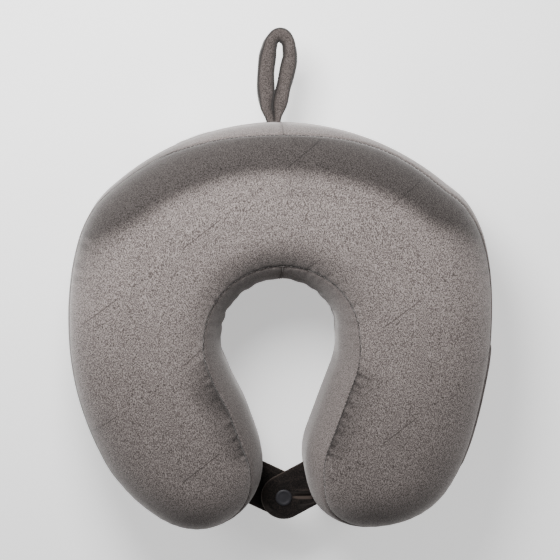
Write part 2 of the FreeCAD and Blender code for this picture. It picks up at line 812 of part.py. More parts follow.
def make_straps():
    """The lower strap carries the snap's stud, and the upper strap its socket and the visible cap."""
    thickness = cell("strap_thickness")
    lower_top = LOWER_LEVEL + thickness
    base_radius = cell("snap_base_radius")
    base_height = cell("snap_base_height")
    stud_radius = cell("snap_stud_radius")
    stud_top = base_height + cell("snap_stud_height")
    pin = cell("snap_pin_radius")
    socket_height = cell("snap_socket_height")
    bore = stud_radius + cell("snap_play")
    bore_top = socket_height - cell("snap_play")
    cap_radius = cell("snap_cap_radius")
    cap_height = cell("snap_cap_height")
    cap_shoulder = cap_radius - cap_height
    return [
        make_strap("strap_left", -1, LOWER_LEVEL),
        make_strap("strap_right", 1, UPPER_LEVEL),
        turned("snap_stud", lower_top, [
            (0, 0), (base_radius, 0), (base_radius, base_height), (stud_radius, base_height),
            (stud_radius, stud_top), (0, stud_top),
        ]),
        turned("snap_back_cap", LOWER_LEVEL, [
            (0, -base_height), (base_radius, -base_height), (base_radius, 0), (pin, 0),
            (pin, thickness), (0, thickness),
        ]),
        turned("snap_socket", UPPER_LEVEL - socket_height, [
            (0, bore_top), (bore, bore_top), (bore, 0), (cell("snap_socket_radius"), 0),
            (cell("snap_socket_radius"), socket_height), (0, socket_height),
        ]),
        turned("snap_cap", UPPER_LEVEL + thickness, [
            (0, -thickness), (pin, -thickness), (pin, 0), (cap_radius, 0),
            (cap_shoulder, cap_height), (0, cap_height),
        ]),
    ]


# Check and write ----------------------------------------------------------------------------------


def check_document():
    """Stops on any object that failed to recompute or has no sound shape."""
    doc.recompute()
    for thing in doc.Objects:
        if "Invalid" in thing.State or "Error" in thing.State:
            raise RuntimeError(f"{thing.Name} failed: {thing.State}")
        if thing.TypeId == "Sketcher::SketchObject" and not thing.FullyConstrained:
            raise RuntimeError(f"{thing.Name} isn't fully constrained")


def write_part(part):
    shape = part.Shape
    if shape.isNull() or not shape.isValid() or not shape.Solids:
        raise RuntimeError(f"{part.Label} has no sound solid")
    shape.exportStep(f"parts/{part.Label}.step")
    box = shape.BoundBox
    print(
        f"{part.Label:20s} solids {len(shape.Solids)}  volume {shape.Volume:12.1f}  "
        f"X {box.XMin:7.2f} {box.XMax:7.2f}  Y {box.YMin:7.2f} {box.YMax:7.2f}  "
        f"Z {box.ZMin:6.2f} {box.ZMax:6.2f}"
    )


os.makedirs("parts", exist_ok=True)

parts = [
    make_foam_core(),
    *make_liner(),
    *make_cover(),
    elastic_strip("neck_elastic", 0),
    *make_zipper_chain(),
    make_zipper_stop("zipper_stop_closed", 1),
    make_zipper_stop("zipper_stop_open", -1),
    make_slider(),
    make_pull_tab(),
    *make_pocket(),
    make_care_label(),
    make_hang_loop(),
    *make_straps(),
]
check_document()
for part in parts:
    write_part(part)
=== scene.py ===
"""The looks of the U-shaped travel neck pillow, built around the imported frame.
Metres, in the frame's axes."""

import math

import bmesh
import bpy
import numpy as np
from mathutils import Matrix, Vector
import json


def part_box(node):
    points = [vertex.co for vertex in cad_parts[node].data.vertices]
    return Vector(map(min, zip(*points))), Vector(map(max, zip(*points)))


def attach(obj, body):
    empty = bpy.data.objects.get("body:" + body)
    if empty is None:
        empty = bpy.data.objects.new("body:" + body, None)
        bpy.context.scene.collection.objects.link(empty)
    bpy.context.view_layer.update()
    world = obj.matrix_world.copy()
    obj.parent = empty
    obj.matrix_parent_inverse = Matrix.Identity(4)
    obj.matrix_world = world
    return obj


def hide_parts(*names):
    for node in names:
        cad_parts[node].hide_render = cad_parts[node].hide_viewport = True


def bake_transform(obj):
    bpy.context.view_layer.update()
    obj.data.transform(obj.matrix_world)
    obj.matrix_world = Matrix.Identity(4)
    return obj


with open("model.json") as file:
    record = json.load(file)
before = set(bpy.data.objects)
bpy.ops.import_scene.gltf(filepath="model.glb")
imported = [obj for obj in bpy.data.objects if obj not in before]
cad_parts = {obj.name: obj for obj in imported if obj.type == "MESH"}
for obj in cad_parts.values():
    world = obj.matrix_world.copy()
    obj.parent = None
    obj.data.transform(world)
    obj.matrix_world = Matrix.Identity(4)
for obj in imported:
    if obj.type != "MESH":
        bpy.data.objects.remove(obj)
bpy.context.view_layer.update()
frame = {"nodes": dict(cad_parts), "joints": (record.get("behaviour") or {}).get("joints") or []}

MM = 0.001

# Plan outline, measured from the line that touches both lobe ends, as in the frame
BACK_RADIUS = 180 * MM
SHOULDER_RADIUS = 80 * MM
SIDE_CENTRE = 148 * MM
LOBE_SIDE = 61.5 * MM
LOBE_OUTER_RADIUS = 63 * MM
LOBE_INNER_RADIUS = 49 * MM
NECK_CENTRE = 137 * MM
NECK_RADIUS = 39.5 * MM
EDGE_ROLL = 38 * MM
TOP_SEAM_OUTSIDE = 0.5 * MM
TOP_SEAM_BACK = 6.1 * MM
TOP_SEAM_SHOULDER = 3.5 * MM
TOP_SEAM_INSIDE = 11.4 * MM
BOTTOM_SEAM_INSET = 8 * MM

# Places read from the frame
LOBE_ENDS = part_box("side_band_right")[0].y
HALF_WIDTH = 150 * MM
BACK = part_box("side_band_left")[1].y
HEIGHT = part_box("cover_top_panel")[1].z
LOOP_LOW, LOOP_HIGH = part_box("hang_loop")
LOOP_MIDDLE = (LOOP_LOW.z + LOOP_HIGH.z) / 2
LOOP_PEAK = 1.2 * MM

JOINTS = {joint["name"]: joint for joint in frame["joints"]}


# Mesh helpers -------------------------------------------------------------------------------------


def new_object(name, verts, faces, material=None, smooth=True):
    mesh = bpy.data.meshes.new(name)
    mesh.from_pydata([tuple(map(float, v)) for v in verts], [], [tuple(map(int, f)) for f in faces])
    mesh.update()
    obj = bpy.data.objects.new(name, mesh)
    bpy.context.scene.collection.objects.link(obj)
    if material:
        mesh.materials.append(material)
    if smooth:
        mesh.polygons.foreach_set("use_smooth", [True] * len(mesh.polygons))
    return obj


def coords(obj):
    co = np.empty(len(obj.data.vertices) * 3)
    obj.data.vertices.foreach_get("co", co)
    return co.reshape(-1, 3)


def set_coords(obj, co):
    obj.data.vertices.foreach_set("co", co.astype(np.float32).ravel())
    obj.data.update()


def vertex_normals(obj):
    normals = np.empty(len(obj.data.vertices) * 3)
    obj.data.vertex_normals.foreach_get("vector", normals)
    return normals.reshape(-1, 3)


def apply_modifiers(obj):
    graph = bpy.context.evaluated_depsgraph_get()
    baked = bpy.data.meshes.new_from_object(obj.evaluated_get(graph))
    obj.modifiers.clear()
    old = obj.data
    obj.data = baked
    bpy.data.meshes.remove(old)


def subdivide(obj, levels=1):
    modifier = obj.modifiers.new("Smooth", "SUBSURF")
    modifier.levels = modifier.render_levels = levels
    modifier.boundary_smooth = "PRESERVE_CORNERS"
    apply_modifiers(obj)
    obj.data.polygons.foreach_set("use_smooth", [True] * len(obj.data.polygons))


def point_outwards(obj):
    """Turns the faces of a closed or nearly closed piece outwards."""
    work = bmesh.new()
    work.from_mesh(obj.data)
    bmesh.ops.recalc_face_normals(work, faces=work.faces)
    work.to_mesh(obj.data)
    work.free()
    obj.data.update()


def loft(rings, closed=True, cap=True):
    """Vertices and quads through equal rings of points, with the two ends closed by fans."""
    rings = [np.asarray(ring, float) for ring in rings]
    size = len(rings[0])
    verts = np.concatenate(rings)
    faces = []
    last = size if closed else size - 1
    for row in range(len(rings) - 1):
        for i in range(last):
            j = (i + 1) % size
            faces.append((row * size + i, row * size + j, (row + 1) * size + j, (row + 1) * size + i))
    if cap:
        centres = [rings[0].mean(0), rings[-1].mean(0)]
        verts = np.concatenate([verts, centres])
        low, high = len(verts) - 2, len(verts) - 1
        top = (len(rings) - 1) * size
        for i in range(last):
            j = (i + 1) % size
            faces.append((j, i, low))
            faces.append((top + i, top + j, high))
    return verts, faces


def smoothstep(low, high, value):
    t = np.clip((value - low) / (high - low), 0, 1)
    return t * t * (3 - 2 * t)


def unit(vectors):
    return vectors / np.linalg.norm(vectors, axis=-1, keepdims=True)


def between(places, steps, line):
    """The line's columns at these places, where its own points lie at the steps."""
    return np.column_stack([np.interp(places, steps, column) for column in line.T])


def slab_faces(grid):
    """Quads over a grid of point numbers, over its copy behind it, and round the rim between them."""
    back = grid.size
    faces = []
    for low, high in zip(grid[:-1], grid[1:]):
        for quad in zip(low[:-1], low[1:], high[1:], high[:-1]):
            faces += [quad, tuple(back + v for v in quad[::-1])]
    rim = [*grid[0], *grid[1:, -1], *grid[-1, -2::-1], *grid[-2:0:-1, 0]]
    for first, second in zip(rim, rim[1:] + rim[:1]):
        faces.append((second, first, back + first, back + second))
    return faces


def cut_out(name, co, faces, material):
    """A piece of a larger form with only these faces, and which of the form's points it uses."""
    used = np.unique(np.concatenate([np.array(face) for face in faces]))
    index = {int(v): i for i, v in enumerate(used)}
    own_faces = [[index[int(v)] for v in face] for face in faces]
    return new_object(name, co[used], own_faces, material), used


def ripple(value, seed, lowest, highest):
    """A smooth irregular wave of unit size, the sum of a few sines of set phases."""
    phases = np.random.default_rng(seed).uniform(0, 2 * math.pi, 5)
    rates = np.linspace(lowest, highest, 5)
    return sum(np.sin(rate * value + phase) for rate, phase in zip(rates, phases)) / 2.2


# Materials ----------------------------------------------------------------------------------------


class Nodes:
    """A short way to build a node material around one Principled shader."""

    def __init__(self, name):
        self.material = bpy.data.materials.new(name)
        self.material.use_nodes = True
        self.tree = self.material.node_tree
        self.shader = self.tree.nodes["Principled BSDF"]
        coordinates = self.tree.nodes.new("ShaderNodeTexCoord")
        self.place = coordinates.outputs["Object"]
        self.normal = coordinates.outputs["Normal"]

    def put(self, socket, value):
        """Links the socket where the value comes from another node, or else sets it."""
        if isinstance(value, bpy.types.NodeSocket):
            self.tree.links.new(value, socket)
        else:
            socket.default_value = value

    def node(self, kind, inputs=(), **settings):
        made = self.tree.nodes.new(kind)
        for key, value in settings.items():
            setattr(made, key, value)
        for key, value in dict(inputs).items():
            self.put(made.inputs[key], value)
        return made

    def math(self, operation, *values, clamp=False):
        return self.node(
            "ShaderNodeMath", dict(enumerate(values)), operation=operation, use_clamp=clamp
        ).outputs[0]

    def plus(self, first, second, clamp=False):
        return self.math("ADD", first, second, clamp=clamp)

    def minus(self, first, second):
        return self.math("SUBTRACT", first, second)

    def times(self, first, second):
        return self.math("MULTIPLY", first, second)

    def within(self, value, reach):
        """1 where the value is less than the reach from 0."""
        return self.math("LESS_THAN", self.math("ABSOLUTE", value), reach)

    def axis(self, source, name):
        return self.node("ShaderNodeSeparateXYZ", {0: source}).outputs[name]

    def eased(self, value, low, high, start=0.0, end=1.0):
        """The start up to the low value, moving smoothly to the end at the high one."""
        ends = {"Value": value, "From Min": low, "From Max": high, "To Min": start, "To Max": end}
        return self.node("ShaderNodeMapRange", ends, interpolation_type="SMOOTHSTEP").outputs["Result"]

    def noise(self, size, detail=2.0, rough=0.5):
        """Noise whose coordinates are stretched by a number for each axis."""
        place = self.node("ShaderNodeVectorMath", {0: self.place, 1: size}, operation="MULTIPLY")
        return self.node("ShaderNodeTexNoise", {
            "Vector": place.outputs[0], "Scale": 1.0, "Detail": detail, "Roughness": rough,
        }).outputs["Fac"]

    def ramp(self, value, stops):
        made = self.node("ShaderNodeValToRGB", {"Fac": value})
        ramp = made.color_ramp
        while len(ramp.elements) < len(stops):
            ramp.elements.new(0.5)
        for element, (at, colour) in zip(ramp.elements, stops):
            element.position = at
            element.color = (*colour, 1)
        return made.outputs["Color"]

    def mix(self, factor, first, second, blend="MIX"):
        made = self.node("ShaderNodeMix", data_type="RGBA", blend_type=blend)
        for index, value in ((0, factor), (6, first), (7, second)):
            self.put(made.inputs[index], (*value, 1) if isinstance(value, tuple) else value)
        return made.outputs[2]

    def toned(self, colour, tone):
        """The colour times one tone in all its channels."""
        grey = self.node("ShaderNodeCombineColor", dict.fromkeys(range(3), tone)).outputs[0]
        return self.mix(1.0, colour, grey, "MULTIPLY")

    def bump(self, height, distance, strength):
        made = self.node(
            "ShaderNodeBump", {"Height": height, "Distance": distance, "Strength": strength}
        )
        self.tree.links.new(made.outputs["Normal"], self.shader.inputs["Normal"])

    def finish(self, colour, **constants):
        self.tree.links.new(colour, self.shader.inputs["Base Color"])
        for key, value in constants.items():
            name = key.replace("_", " ").title().replace("Ior", "IOR")
            self.put(self.shader.inputs[name], value)
        return self.material


EMBOSS_TURN = math.radians(37.5)
EMBOSS_PITCH = 88 * MM
EMBOSS_ROWS = 64 * MM
EMBOSS_LINE = 32 * MM
EMBOSS_WIDTH = 0.7 * MM
EMBOSS_GAP = 10 * MM
EMBOSS_SHIFT = 0.43
DOT_PITCH = 7 * MM
DOT_RADIUS = 0.85 * MM


def emboss_mask(n):
    """Pressed marks in staggered diagonal rows: a thin line, then four small round dots."""
    x, y = n.axis(n.place, "X"), n.axis(n.place, "Y")
    cos, sin = math.cos(EMBOSS_TURN), math.sin(EMBOSS_TURN)
    along = n.plus(n.times(x, cos), n.times(y, sin))
    across = n.minus(n.times(y, cos), n.times(x, sin))
    row = n.math("FLOOR", n.math("DIVIDE", n.plus(across, EMBOSS_ROWS / 2), EMBOSS_ROWS))
    off = n.minus(across, n.times(row, EMBOSS_ROWS))
    shifted = n.plus(along, n.times(row, EMBOSS_PITCH * EMBOSS_SHIFT))
    step = n.math("WRAP", shifted, EMBOSS_PITCH, 0.0)
    in_line = n.within(n.minus(step, EMBOSS_LINE / 2), EMBOSS_LINE / 2)
    line = n.times(in_line, n.within(off, EMBOSS_WIDTH / 2))
    start = EMBOSS_LINE + EMBOSS_GAP
    in_row = n.within(n.minus(step, start + 2 * DOT_PITCH), 2 * DOT_PITCH)
    cell = n.minus(n.math("WRAP", n.minus(step, start), DOT_PITCH, 0.0), DOT_PITCH / 2)
    distance = n.math("SQRT", n.plus(n.times(cell, cell), n.times(off, off)))
    dots = n.times(in_row, n.math("LESS_THAN", distance, DOT_RADIUS))
    return n.plus(line, dots, clamp=True)


# How much the marks darken the pile, and how deep they are against the pile's own relief
MARK_SHADE = 0.75
MARK_DEPTH = 2.0

# Streaks and specks of the pile to a metre
PILE_STREAKS = 4400
PILE_SPECKS = 2350

# Painted shade on the top panel: a slope to the front is darkened by these shares of what a slope to the
# back is, above the neck and over the lobes. The slopes and the places along Y are where each change starts
# and ends.
PAINTED_SHADE_ABOVE_NECK = 0.3
PAINTED_SHADE_FORWARD = 0.12
PAINTED_SHADE_SLOPES = (0.02, 0.34)
PAINTED_SHADE_PLACES = (-100 * MM, -10 * MM)

# The tone of the painted shade at the lobes' ends, and how steep a slope must be to take the painted steep
# colour
PAINTED_SHADE_AT_LOBES = 0.64
LOBE_SHADE_PLACES = (-150 * MM, 40 * MM)
STEEP_TONE_SLOPES = (0.6, 0.985)

# Painted shade on the band: its tone high on the left flank, and on the hole's left wall
FLANK_PAINTED_SHADE = 0.5
WALL_PAINTED_SHADE = 0.58


def painted_band_shade(n):
    """1 over most of the band, falling to the two painted shade tones above on its left half."""
    left = n.times(n.axis(n.place, "X"), -1.0)
    high = n.eased(n.axis(n.place, "Z"), 40 * MM, 66 * MM, 0.0, 1.0 - FLANK_PAINTED_SHADE)
    inner = n.eased(n.axis(n.normal, "X"), 0.1, 0.6, 0.0, 1.0 - WALL_PAINTED_SHADE)
    flank = n.times(n.eased(left, 50 * MM, 90 * MM), high)
    wall = n.times(n.eased(left, 5 * MM, 20 * MM), inner)
    return n.minus(1.0, n.math("MAXIMUM", flank, wall))


def make_velour(name, dark, middle, light, grain=1.0, sheen=0.35, embossed=False, along=(1, 0.45, 1),
                painted_slope_shade=0.0, painted_steep_tone=None, painted_left_shade=False):
    """Short pile: fine streaks along the nap, soft patches where it is brushed, and sheen.
    With a slope share given, the pile is darker by that share where it slopes towards the front or the
    back: painted shade.
    With a steep colour given, steep slopes take that colour: painted shade where it is darker, a painted
    sheen where lighter.
    With the left shade asked for, the band's left half is darker: painted shade."""
    n = Nodes(name)
    fine = n.noise([PILE_STREAKS * c for c in along], detail=2, rough=0.6)
    speck = n.noise([PILE_SPECKS * c for c in along], detail=1.5)
    brushed = n.noise((26, 22, 26), detail=3)
    nap = n.plus(n.times(fine, 0.2), n.times(speck, 0.8))
    shade = n.plus(n.times(n.minus(nap, 0.5), 7.0 * grain), 0.5)
    shade = n.plus(shade, n.times(n.minus(brushed, 0.5), 0.3))
    height = nap
    if embossed:
        mark = emboss_mask(n)
        shade = n.minus(shade, n.times(mark, MARK_SHADE))
        height = n.minus(nap, n.times(mark, MARK_DEPTH))
    colour = n.ramp(shade, [(0.0, dark), (0.5, middle), (1.0, light)])
    # Steep slopes take the given colour: painted shade on the loop, a painted sheen on the straps
    if painted_steep_tone:
        side = n.eased(n.axis(n.normal, "Z"), *STEEP_TONE_SLOPES, 1.0, 0.0)
        colour = n.mix(side, colour, painted_steep_tone)
    # Painted shade: the top panel is darker where it slopes to the back, and less so where it slopes to the
    # front
    if painted_slope_shade:
        facing, along_y = n.axis(n.normal, "Y"), n.axis(n.place, "Y")
        more = n.eased(along_y, *PAINTED_SHADE_PLACES, 0.0, PAINTED_SHADE_ABOVE_NECK - PAINTED_SHADE_FORWARD)
        forward = n.times(n.times(facing, -1.0), n.plus(PAINTED_SHADE_FORWARD, more))
        slope = n.eased(n.math("MAXIMUM", facing, forward), *PAINTED_SHADE_SLOPES, 1.0, 1.0 - painted_slope_shade)
        # Painted shade: the top panel grows darker towards the lobes' ends
        lobe_shading = n.eased(along_y, *LOBE_SHADE_PLACES, PAINTED_SHADE_AT_LOBES, 1.0)
        colour = n.toned(colour, n.times(slope, lobe_shading))
    # Painted shade on the band's left half
    if painted_left_shade:
        colour = n.toned(colour, painted_band_shade(n))
    n.bump(height, 0.35 * MM, 0.5)
    return n.finish(
        colour, roughness=0.92, specular_ior_level=0.2, sheen_weight=sheen, sheen_roughness=0.45,
        sheen_tint=(0.95, 0.92, 0.9, 1),
    )


def make_weave(name, dark, light, pitch, roughness=0.75):
    """A plain weave of crossing threads."""
    n = Nodes(name)
    rate = 2 * math.pi / pitch
    waves = [n.math("SINE", n.times(n.axis(n.place, axis), rate)) for axis in "XYZ"]
    weave = n.times(n.plus(waves[0], waves[2]), n.plus(waves[1], waves[2]))
    height = n.plus(n.times(weave, 0.2), 0.5)
    fibre = n.noise((1 / pitch,) * 3, detail=3)
    shade = n.plus(n.times(height, 0.6), n.times(fibre, 0.5))
    n.bump(height, 0.2 * MM, 0.6)
    return n.finish(n.ramp(shade, [(0.25, dark), (0.85, light)]), roughness=roughness, sheen_weight=0.1)


def make_foam(name):
    n = Nodes(name)
    cells = n.node("ShaderNodeTexVoronoi", {"Vector": n.place, "Scale": 900.0}).outputs["Distance"]
    patches = n.noise((40, 40, 40))
    shade = n.plus(n.times(cells, 0.5), n.times(patches, 0.6))
    n.bump(cells, 0.4 * MM, 0.6)
    return n.finish(
        n.ramp(shade, [(0.2, (0.62, 0.53, 0.34)), (0.8, (0.8, 0.73, 0.55))]), roughness=0.95,
    )


def make_moulded(name, dark, light, roughness=0.45, metallic=0.0):
    """Moulded plastic or painted metal: faint mottling, a fine texture and rubbed patches."""
    n = Nodes(name)
    patches = n.noise((180, 180, 180), detail=3)
    fine = n.noise((2500, 2500, 2500), detail=2)
    n.bump(fine, 0.03 * MM, 0.5)
    rough = n.plus(n.times(patches, 0.25), roughness - 0.12)
    return n.finish(n.ramp(patches, [(0.3, dark), (0.75, light)]), roughness=rough, metallic=metallic)


VELOUR_DARK = (0.062, 0.05, 0.047)
VELOUR_MIDDLE = (0.148, 0.125, 0.118)
VELOUR_LIGHT = (0.285, 0.248, 0.235)
# The top panel's velour carries a painted shade on its slopes
VELOUR_EMBOSSED = make_velour(
    "velour_top", VELOUR_DARK, VELOUR_MIDDLE, VELOUR_LIGHT, embossed=True, painted_slope_shade=0.78
)
VELOUR_UNDER = make_velour("velour_under", VELOUR_DARK, VELOUR_MIDDLE, VELOUR_LIGHT, embossed=True)
# The band's colours are the top velour's made darker, and its left half darker still: both painted shade
VELOUR_BAND = make_velour(
    "velour_band", (0.062, 0.051, 0.048), (0.118, 0.1, 0.095), (0.2, 0.176, 0.167), grain=0.9,
    along=(1, 1, 0.4), painted_left_shade=True,
)
# The loop's steep sides are painted near black: painted shade
LOOP_VELOUR = make_velour(
    "loop_velour", (0.028, 0.023, 0.021), (0.056, 0.046, 0.043), (0.11, 0.094, 0.088), 0.55,
    painted_steep_tone=(0.007, 0.0055, 0.005)
)
# The straps' steep sides and fold flanks are painted lighter brown: a painted sheen
STRAP_VELOUR = make_velour(
    "strap_velour", (0.001, 0.0008, 0.0008), (0.005, 0.0036, 0.0032), (0.02, 0.0145, 0.0125), 0.8,
    sheen=0.22, painted_steep_tone=(0.05, 0.037, 0.031),
)
THREAD = make_weave("thread", (0.02, 0.016, 0.015), (0.06, 0.05, 0.047), 0.5 * MM)
THREAD_LIGHT = make_weave("thread_light", (0.1, 0.088, 0.083), (0.24, 0.21, 0.2), 0.5 * MM)
LINER_KNIT = make_weave("liner_knit", (0.55, 0.54, 0.5), (0.8, 0.79, 0.76), 0.9 * MM)
ELASTIC = make_weave("elastic", (0.5, 0.5, 0.48), (0.75, 0.75, 0.73), 0.8 * MM)
TAPE = make_weave("zipper_tape", (0.07, 0.06, 0.055), (0.16, 0.14, 0.13), 0.5 * MM)
LABEL = make_weave("label_satin", (0.62, 0.61, 0.59), (0.85, 0.84, 0.82), 0.35 * MM, 0.5)
FOAM = make_foam("foam")
COIL = make_moulded("coil_nylon", (0.09, 0.08, 0.075), (0.17, 0.15, 0.145))
ZIPPER_METAL = make_moulded("zipper_metal", (0.07, 0.065, 0.062), (0.16, 0.15, 0.145), 0.35, 0.6)
SNAP = make_moulded("snap_plastic", (0.013, 0.0125, 0.016), (0.024, 0.023, 0.029), 0.6)


# Outline in plan ----------------------------------------------------------------------------------

# Stations on each half of the outline, between matching places on its outer and inner sides
OUTER_STOPS = (0.0, 70 * MM, 130 * MM, BACK - LOBE_ENDS)
INNER_STOPS = (0.0, 66 * MM, 123 * MM, NECK_CENTRE + NECK_RADIUS)
STATIONS = (40, 24, 80)
STATION_BLEND = 8
HALF_RING = sum(STATIONS)
RING = 4 * HALF_RING


def arc_points(centre, radius, start, end, side=-1.0):
    """Points and inward normals; the pillow is inside the arc for side -1, outside it for +1."""
    angles = np.linspace(start, end, 400)
    rays = np.stack([np.cos(angles), np.sin(angles)], 1)
    return np.array(centre) + radius * rays, side * rays


def bearing(start, end):
    return math.atan2(end[1] - start[1], end[0] - start[0])


def half_outlines():
    """Dense points and inward normals up the outer and the inner side of the right half."""
    reach = HALF_WIDTH - LOBE_SIDE
    rise = SIDE_CENTRE - LOBE_OUTER_RADIUS
    side_radius = (reach**2 + rise**2 - LOBE_OUTER_RADIUS**2) / (2 * (reach - LOBE_OUTER_RADIUS))
    side = (HALF_WIDTH - side_radius, SIDE_CENTRE)
    back = (0.0, BACK - LOBE_ENDS - BACK_RADIUS)
    outer = (LOBE_SIDE, LOBE_OUTER_RADIUS)
    inner = (LOBE_SIDE, LOBE_INNER_RADIUS)
    neck = (0.0, NECK_CENTRE)
    gap = math.dist(back, side)
    near, far = BACK_RADIUS - SHOULDER_RADIUS, side_radius - SHOULDER_RADIUS
    along = (near**2 - far**2 + gap**2) / (2 * gap)
    aside = math.sqrt(near**2 - along**2)
    ux, uy = (side[0] - back[0]) / gap, (side[1] - back[1]) / gap
    shoulder = max(
        ((back[0] + along * ux - s * aside * uy, back[1] + along * uy + s * aside * ux) for s in (1, -1)),
        key=lambda point: point[1],
    )
    lobe_joint = bearing(side, outer)
    side_joint = bearing(side, shoulder)
    back_joint = bearing(back, shoulder)
    flank = bearing(inner, neck) + math.acos(
        (LOBE_INNER_RADIUS + NECK_RADIUS) / math.dist(inner, neck)
    )
    down = -math.pi / 2
    outer_side = [
        arc_points(outer, LOBE_OUTER_RADIUS, down, lobe_joint),
        arc_points(side, side_radius, lobe_joint, side_joint),
        arc_points(shoulder, SHOULDER_RADIUS, side_joint, back_joint),
        arc_points(back, BACK_RADIUS, back_joint, math.pi / 2),
    ]
    nose = arc_points(inner, LOBE_INNER_RADIUS, down, flank - 2 * math.pi)
    hole = arc_points(neck, NECK_RADIUS, flank - math.pi, math.pi / 2, side=1.0)
    share = np.linspace(0, 1, 400)[:, None]
    straight = nose[0][-1] * (1 - share) + hole[0][0] * share
    normals = np.repeat(nose[1][-1][None], 400, 0)
    inner_side = [nose, (straight, normals), hole]
    return [
        tuple(np.concatenate([part[i] for part in parts]) for i in (0, 1))
        for parts in (outer_side, inner_side)
    ]


def stationed(points, normals, stops):
    """The outline sampled at the stations, evenly by length between each two stops."""
    steps = np.r_[0, np.cumsum(np.hypot(*np.diff(points, axis=0).T))]
    at_stops = np.interp(stops, points[:, 1], steps)
    places = np.concatenate([
        np.linspace(low, high, count, endpoint=False)
        for low, high, count in zip(at_stops[:-1], at_stops[1:], STATIONS)
    ] + [[at_stops[-1]]])
    before = 2 * places[0] - places[STATION_BLEND:0:-1]
    after = 2 * places[-1] - places[-2:-STATION_BLEND - 2:-1]
    window = np.ones(2 * STATION_BLEND + 1) / (2 * STATION_BLEND + 1)
    places = np.convolve(np.concatenate([before, places, after]), window, "valid")
    return between(places, steps, points), unit(between(places, steps, normals))


def closed_outline():
    """The whole outline: from the right lobe's end up the outside, round the back and down to the
    left lobe's end, then up the inside, round the neck and down to the start."""
    (outer_points, outer_normals), (inner_points, inner_normals) = half_outlines()
    outer = stationed(outer_points, outer_normals, OUTER_STOPS)
    inner = stationed(inner_points, inner_normals, INNER_STOPS)
    whole = []
    for i in (0, 1):
        flip = np.array([-1.0, 1.0])
        whole.append(np.concatenate([
            outer[i][:-1],
            (outer[i] * flip)[::-1][:-1],
            (inner[i] * flip)[:-1],
            inner[i][::-1][:-1],
        ]))
    whole[0][:, 1] += LOBE_ENDS
    return whole


OUTLINE, INWARD = closed_outline()
BACK_STATION = HALF_RING
LEFT_END = 2 * HALF_RING
NECK_STATION = 3 * HALF_RING
NECK_ARC = np.abs(np.arange(RING) - NECK_STATION) / STATIONS[2]


# The cover's form ---------------------------------------------------------------------------------

SLIM = 1.0 * MM
INNER_EDGE = 44 * MM
BRIDGE = 8
UPPER_CENTRE = HEIGHT - EDGE_ROLL
UPPER_ROLL = EDGE_ROLL - SLIM
LOBE_TURN_STATIONS = 40

# Stations counted from each lobe's end, negative on the inner side, and which end is nearer
FROM_RIGHT = (np.arange(RING) + RING / 2) % RING - RING / 2
FROM_LEFT = LEFT_END - np.arange(RING)
NEAR_RIGHT = np.abs(FROM_RIGHT) < np.abs(FROM_LEFT)


def inner_share():
    """0 on the outer side of the outline, 1 on its inner side, and in between round each lobe's end."""
    return smoothstep(LOBE_TURN_STATIONS, -LOBE_TURN_STATIONS, np.where(NEAR_RIGHT, FROM_RIGHT, FROM_LEFT))


def top_seam_insets():
    """The top panel wraps down to the flanks. It stops higher at the back, right shoulder and inside."""
    inside = np.where(NEAR_RIGHT, smoothstep(2, -36, FROM_RIGHT), smoothstep(-8, -42, FROM_LEFT))
    turn = np.degrees(np.arctan2(OUTLINE[:, 0], OUTLINE[:, 1] - (BACK - BACK_RADIUS)))
    at_back = np.exp(-((turn / 20) ** 2)) * (1 - INNER_SIDE)
    at_shoulder = np.exp(-(((turn - 42) / 14) ** 2)) * (1 - INNER_SIDE)
    return (
        TOP_SEAM_OUTSIDE
        + (TOP_SEAM_BACK - TOP_SEAM_OUTSIDE) * at_back
        + (TOP_SEAM_SHOULDER - TOP_SEAM_OUTSIDE) * at_shoulder
        + (TOP_SEAM_INSIDE - TOP_SEAM_OUTSIDE) * inside
    )


INNER_SIDE = inner_share()
TOP_SEAM = top_seam_insets()
UNDER_SHARES = (1, 0.92, 0.83, 0.72, 0.61, 0.5, 0.39, 0.29, 0.21, 0.14, 0.08, 0.04, 0.018, 0)
LOW_SHARES = (0.035, 0.09, 0.18, 0.3, 0.44, 0.58, 0.72, 0.86, 1.0)
HIGH_SHARES = (0.0, 0.12, 0.24, 0.36, 0.48, 0.6, 0.72, 0.83, 0.91, 0.965)
OVER_SHARES = (0, 0.022, 0.06, 0.12, 0.19, 0.28, 0.38, 0.49, 0.61, 0.74, 0.87, 1)
STRAIGHT_ROWS = 10


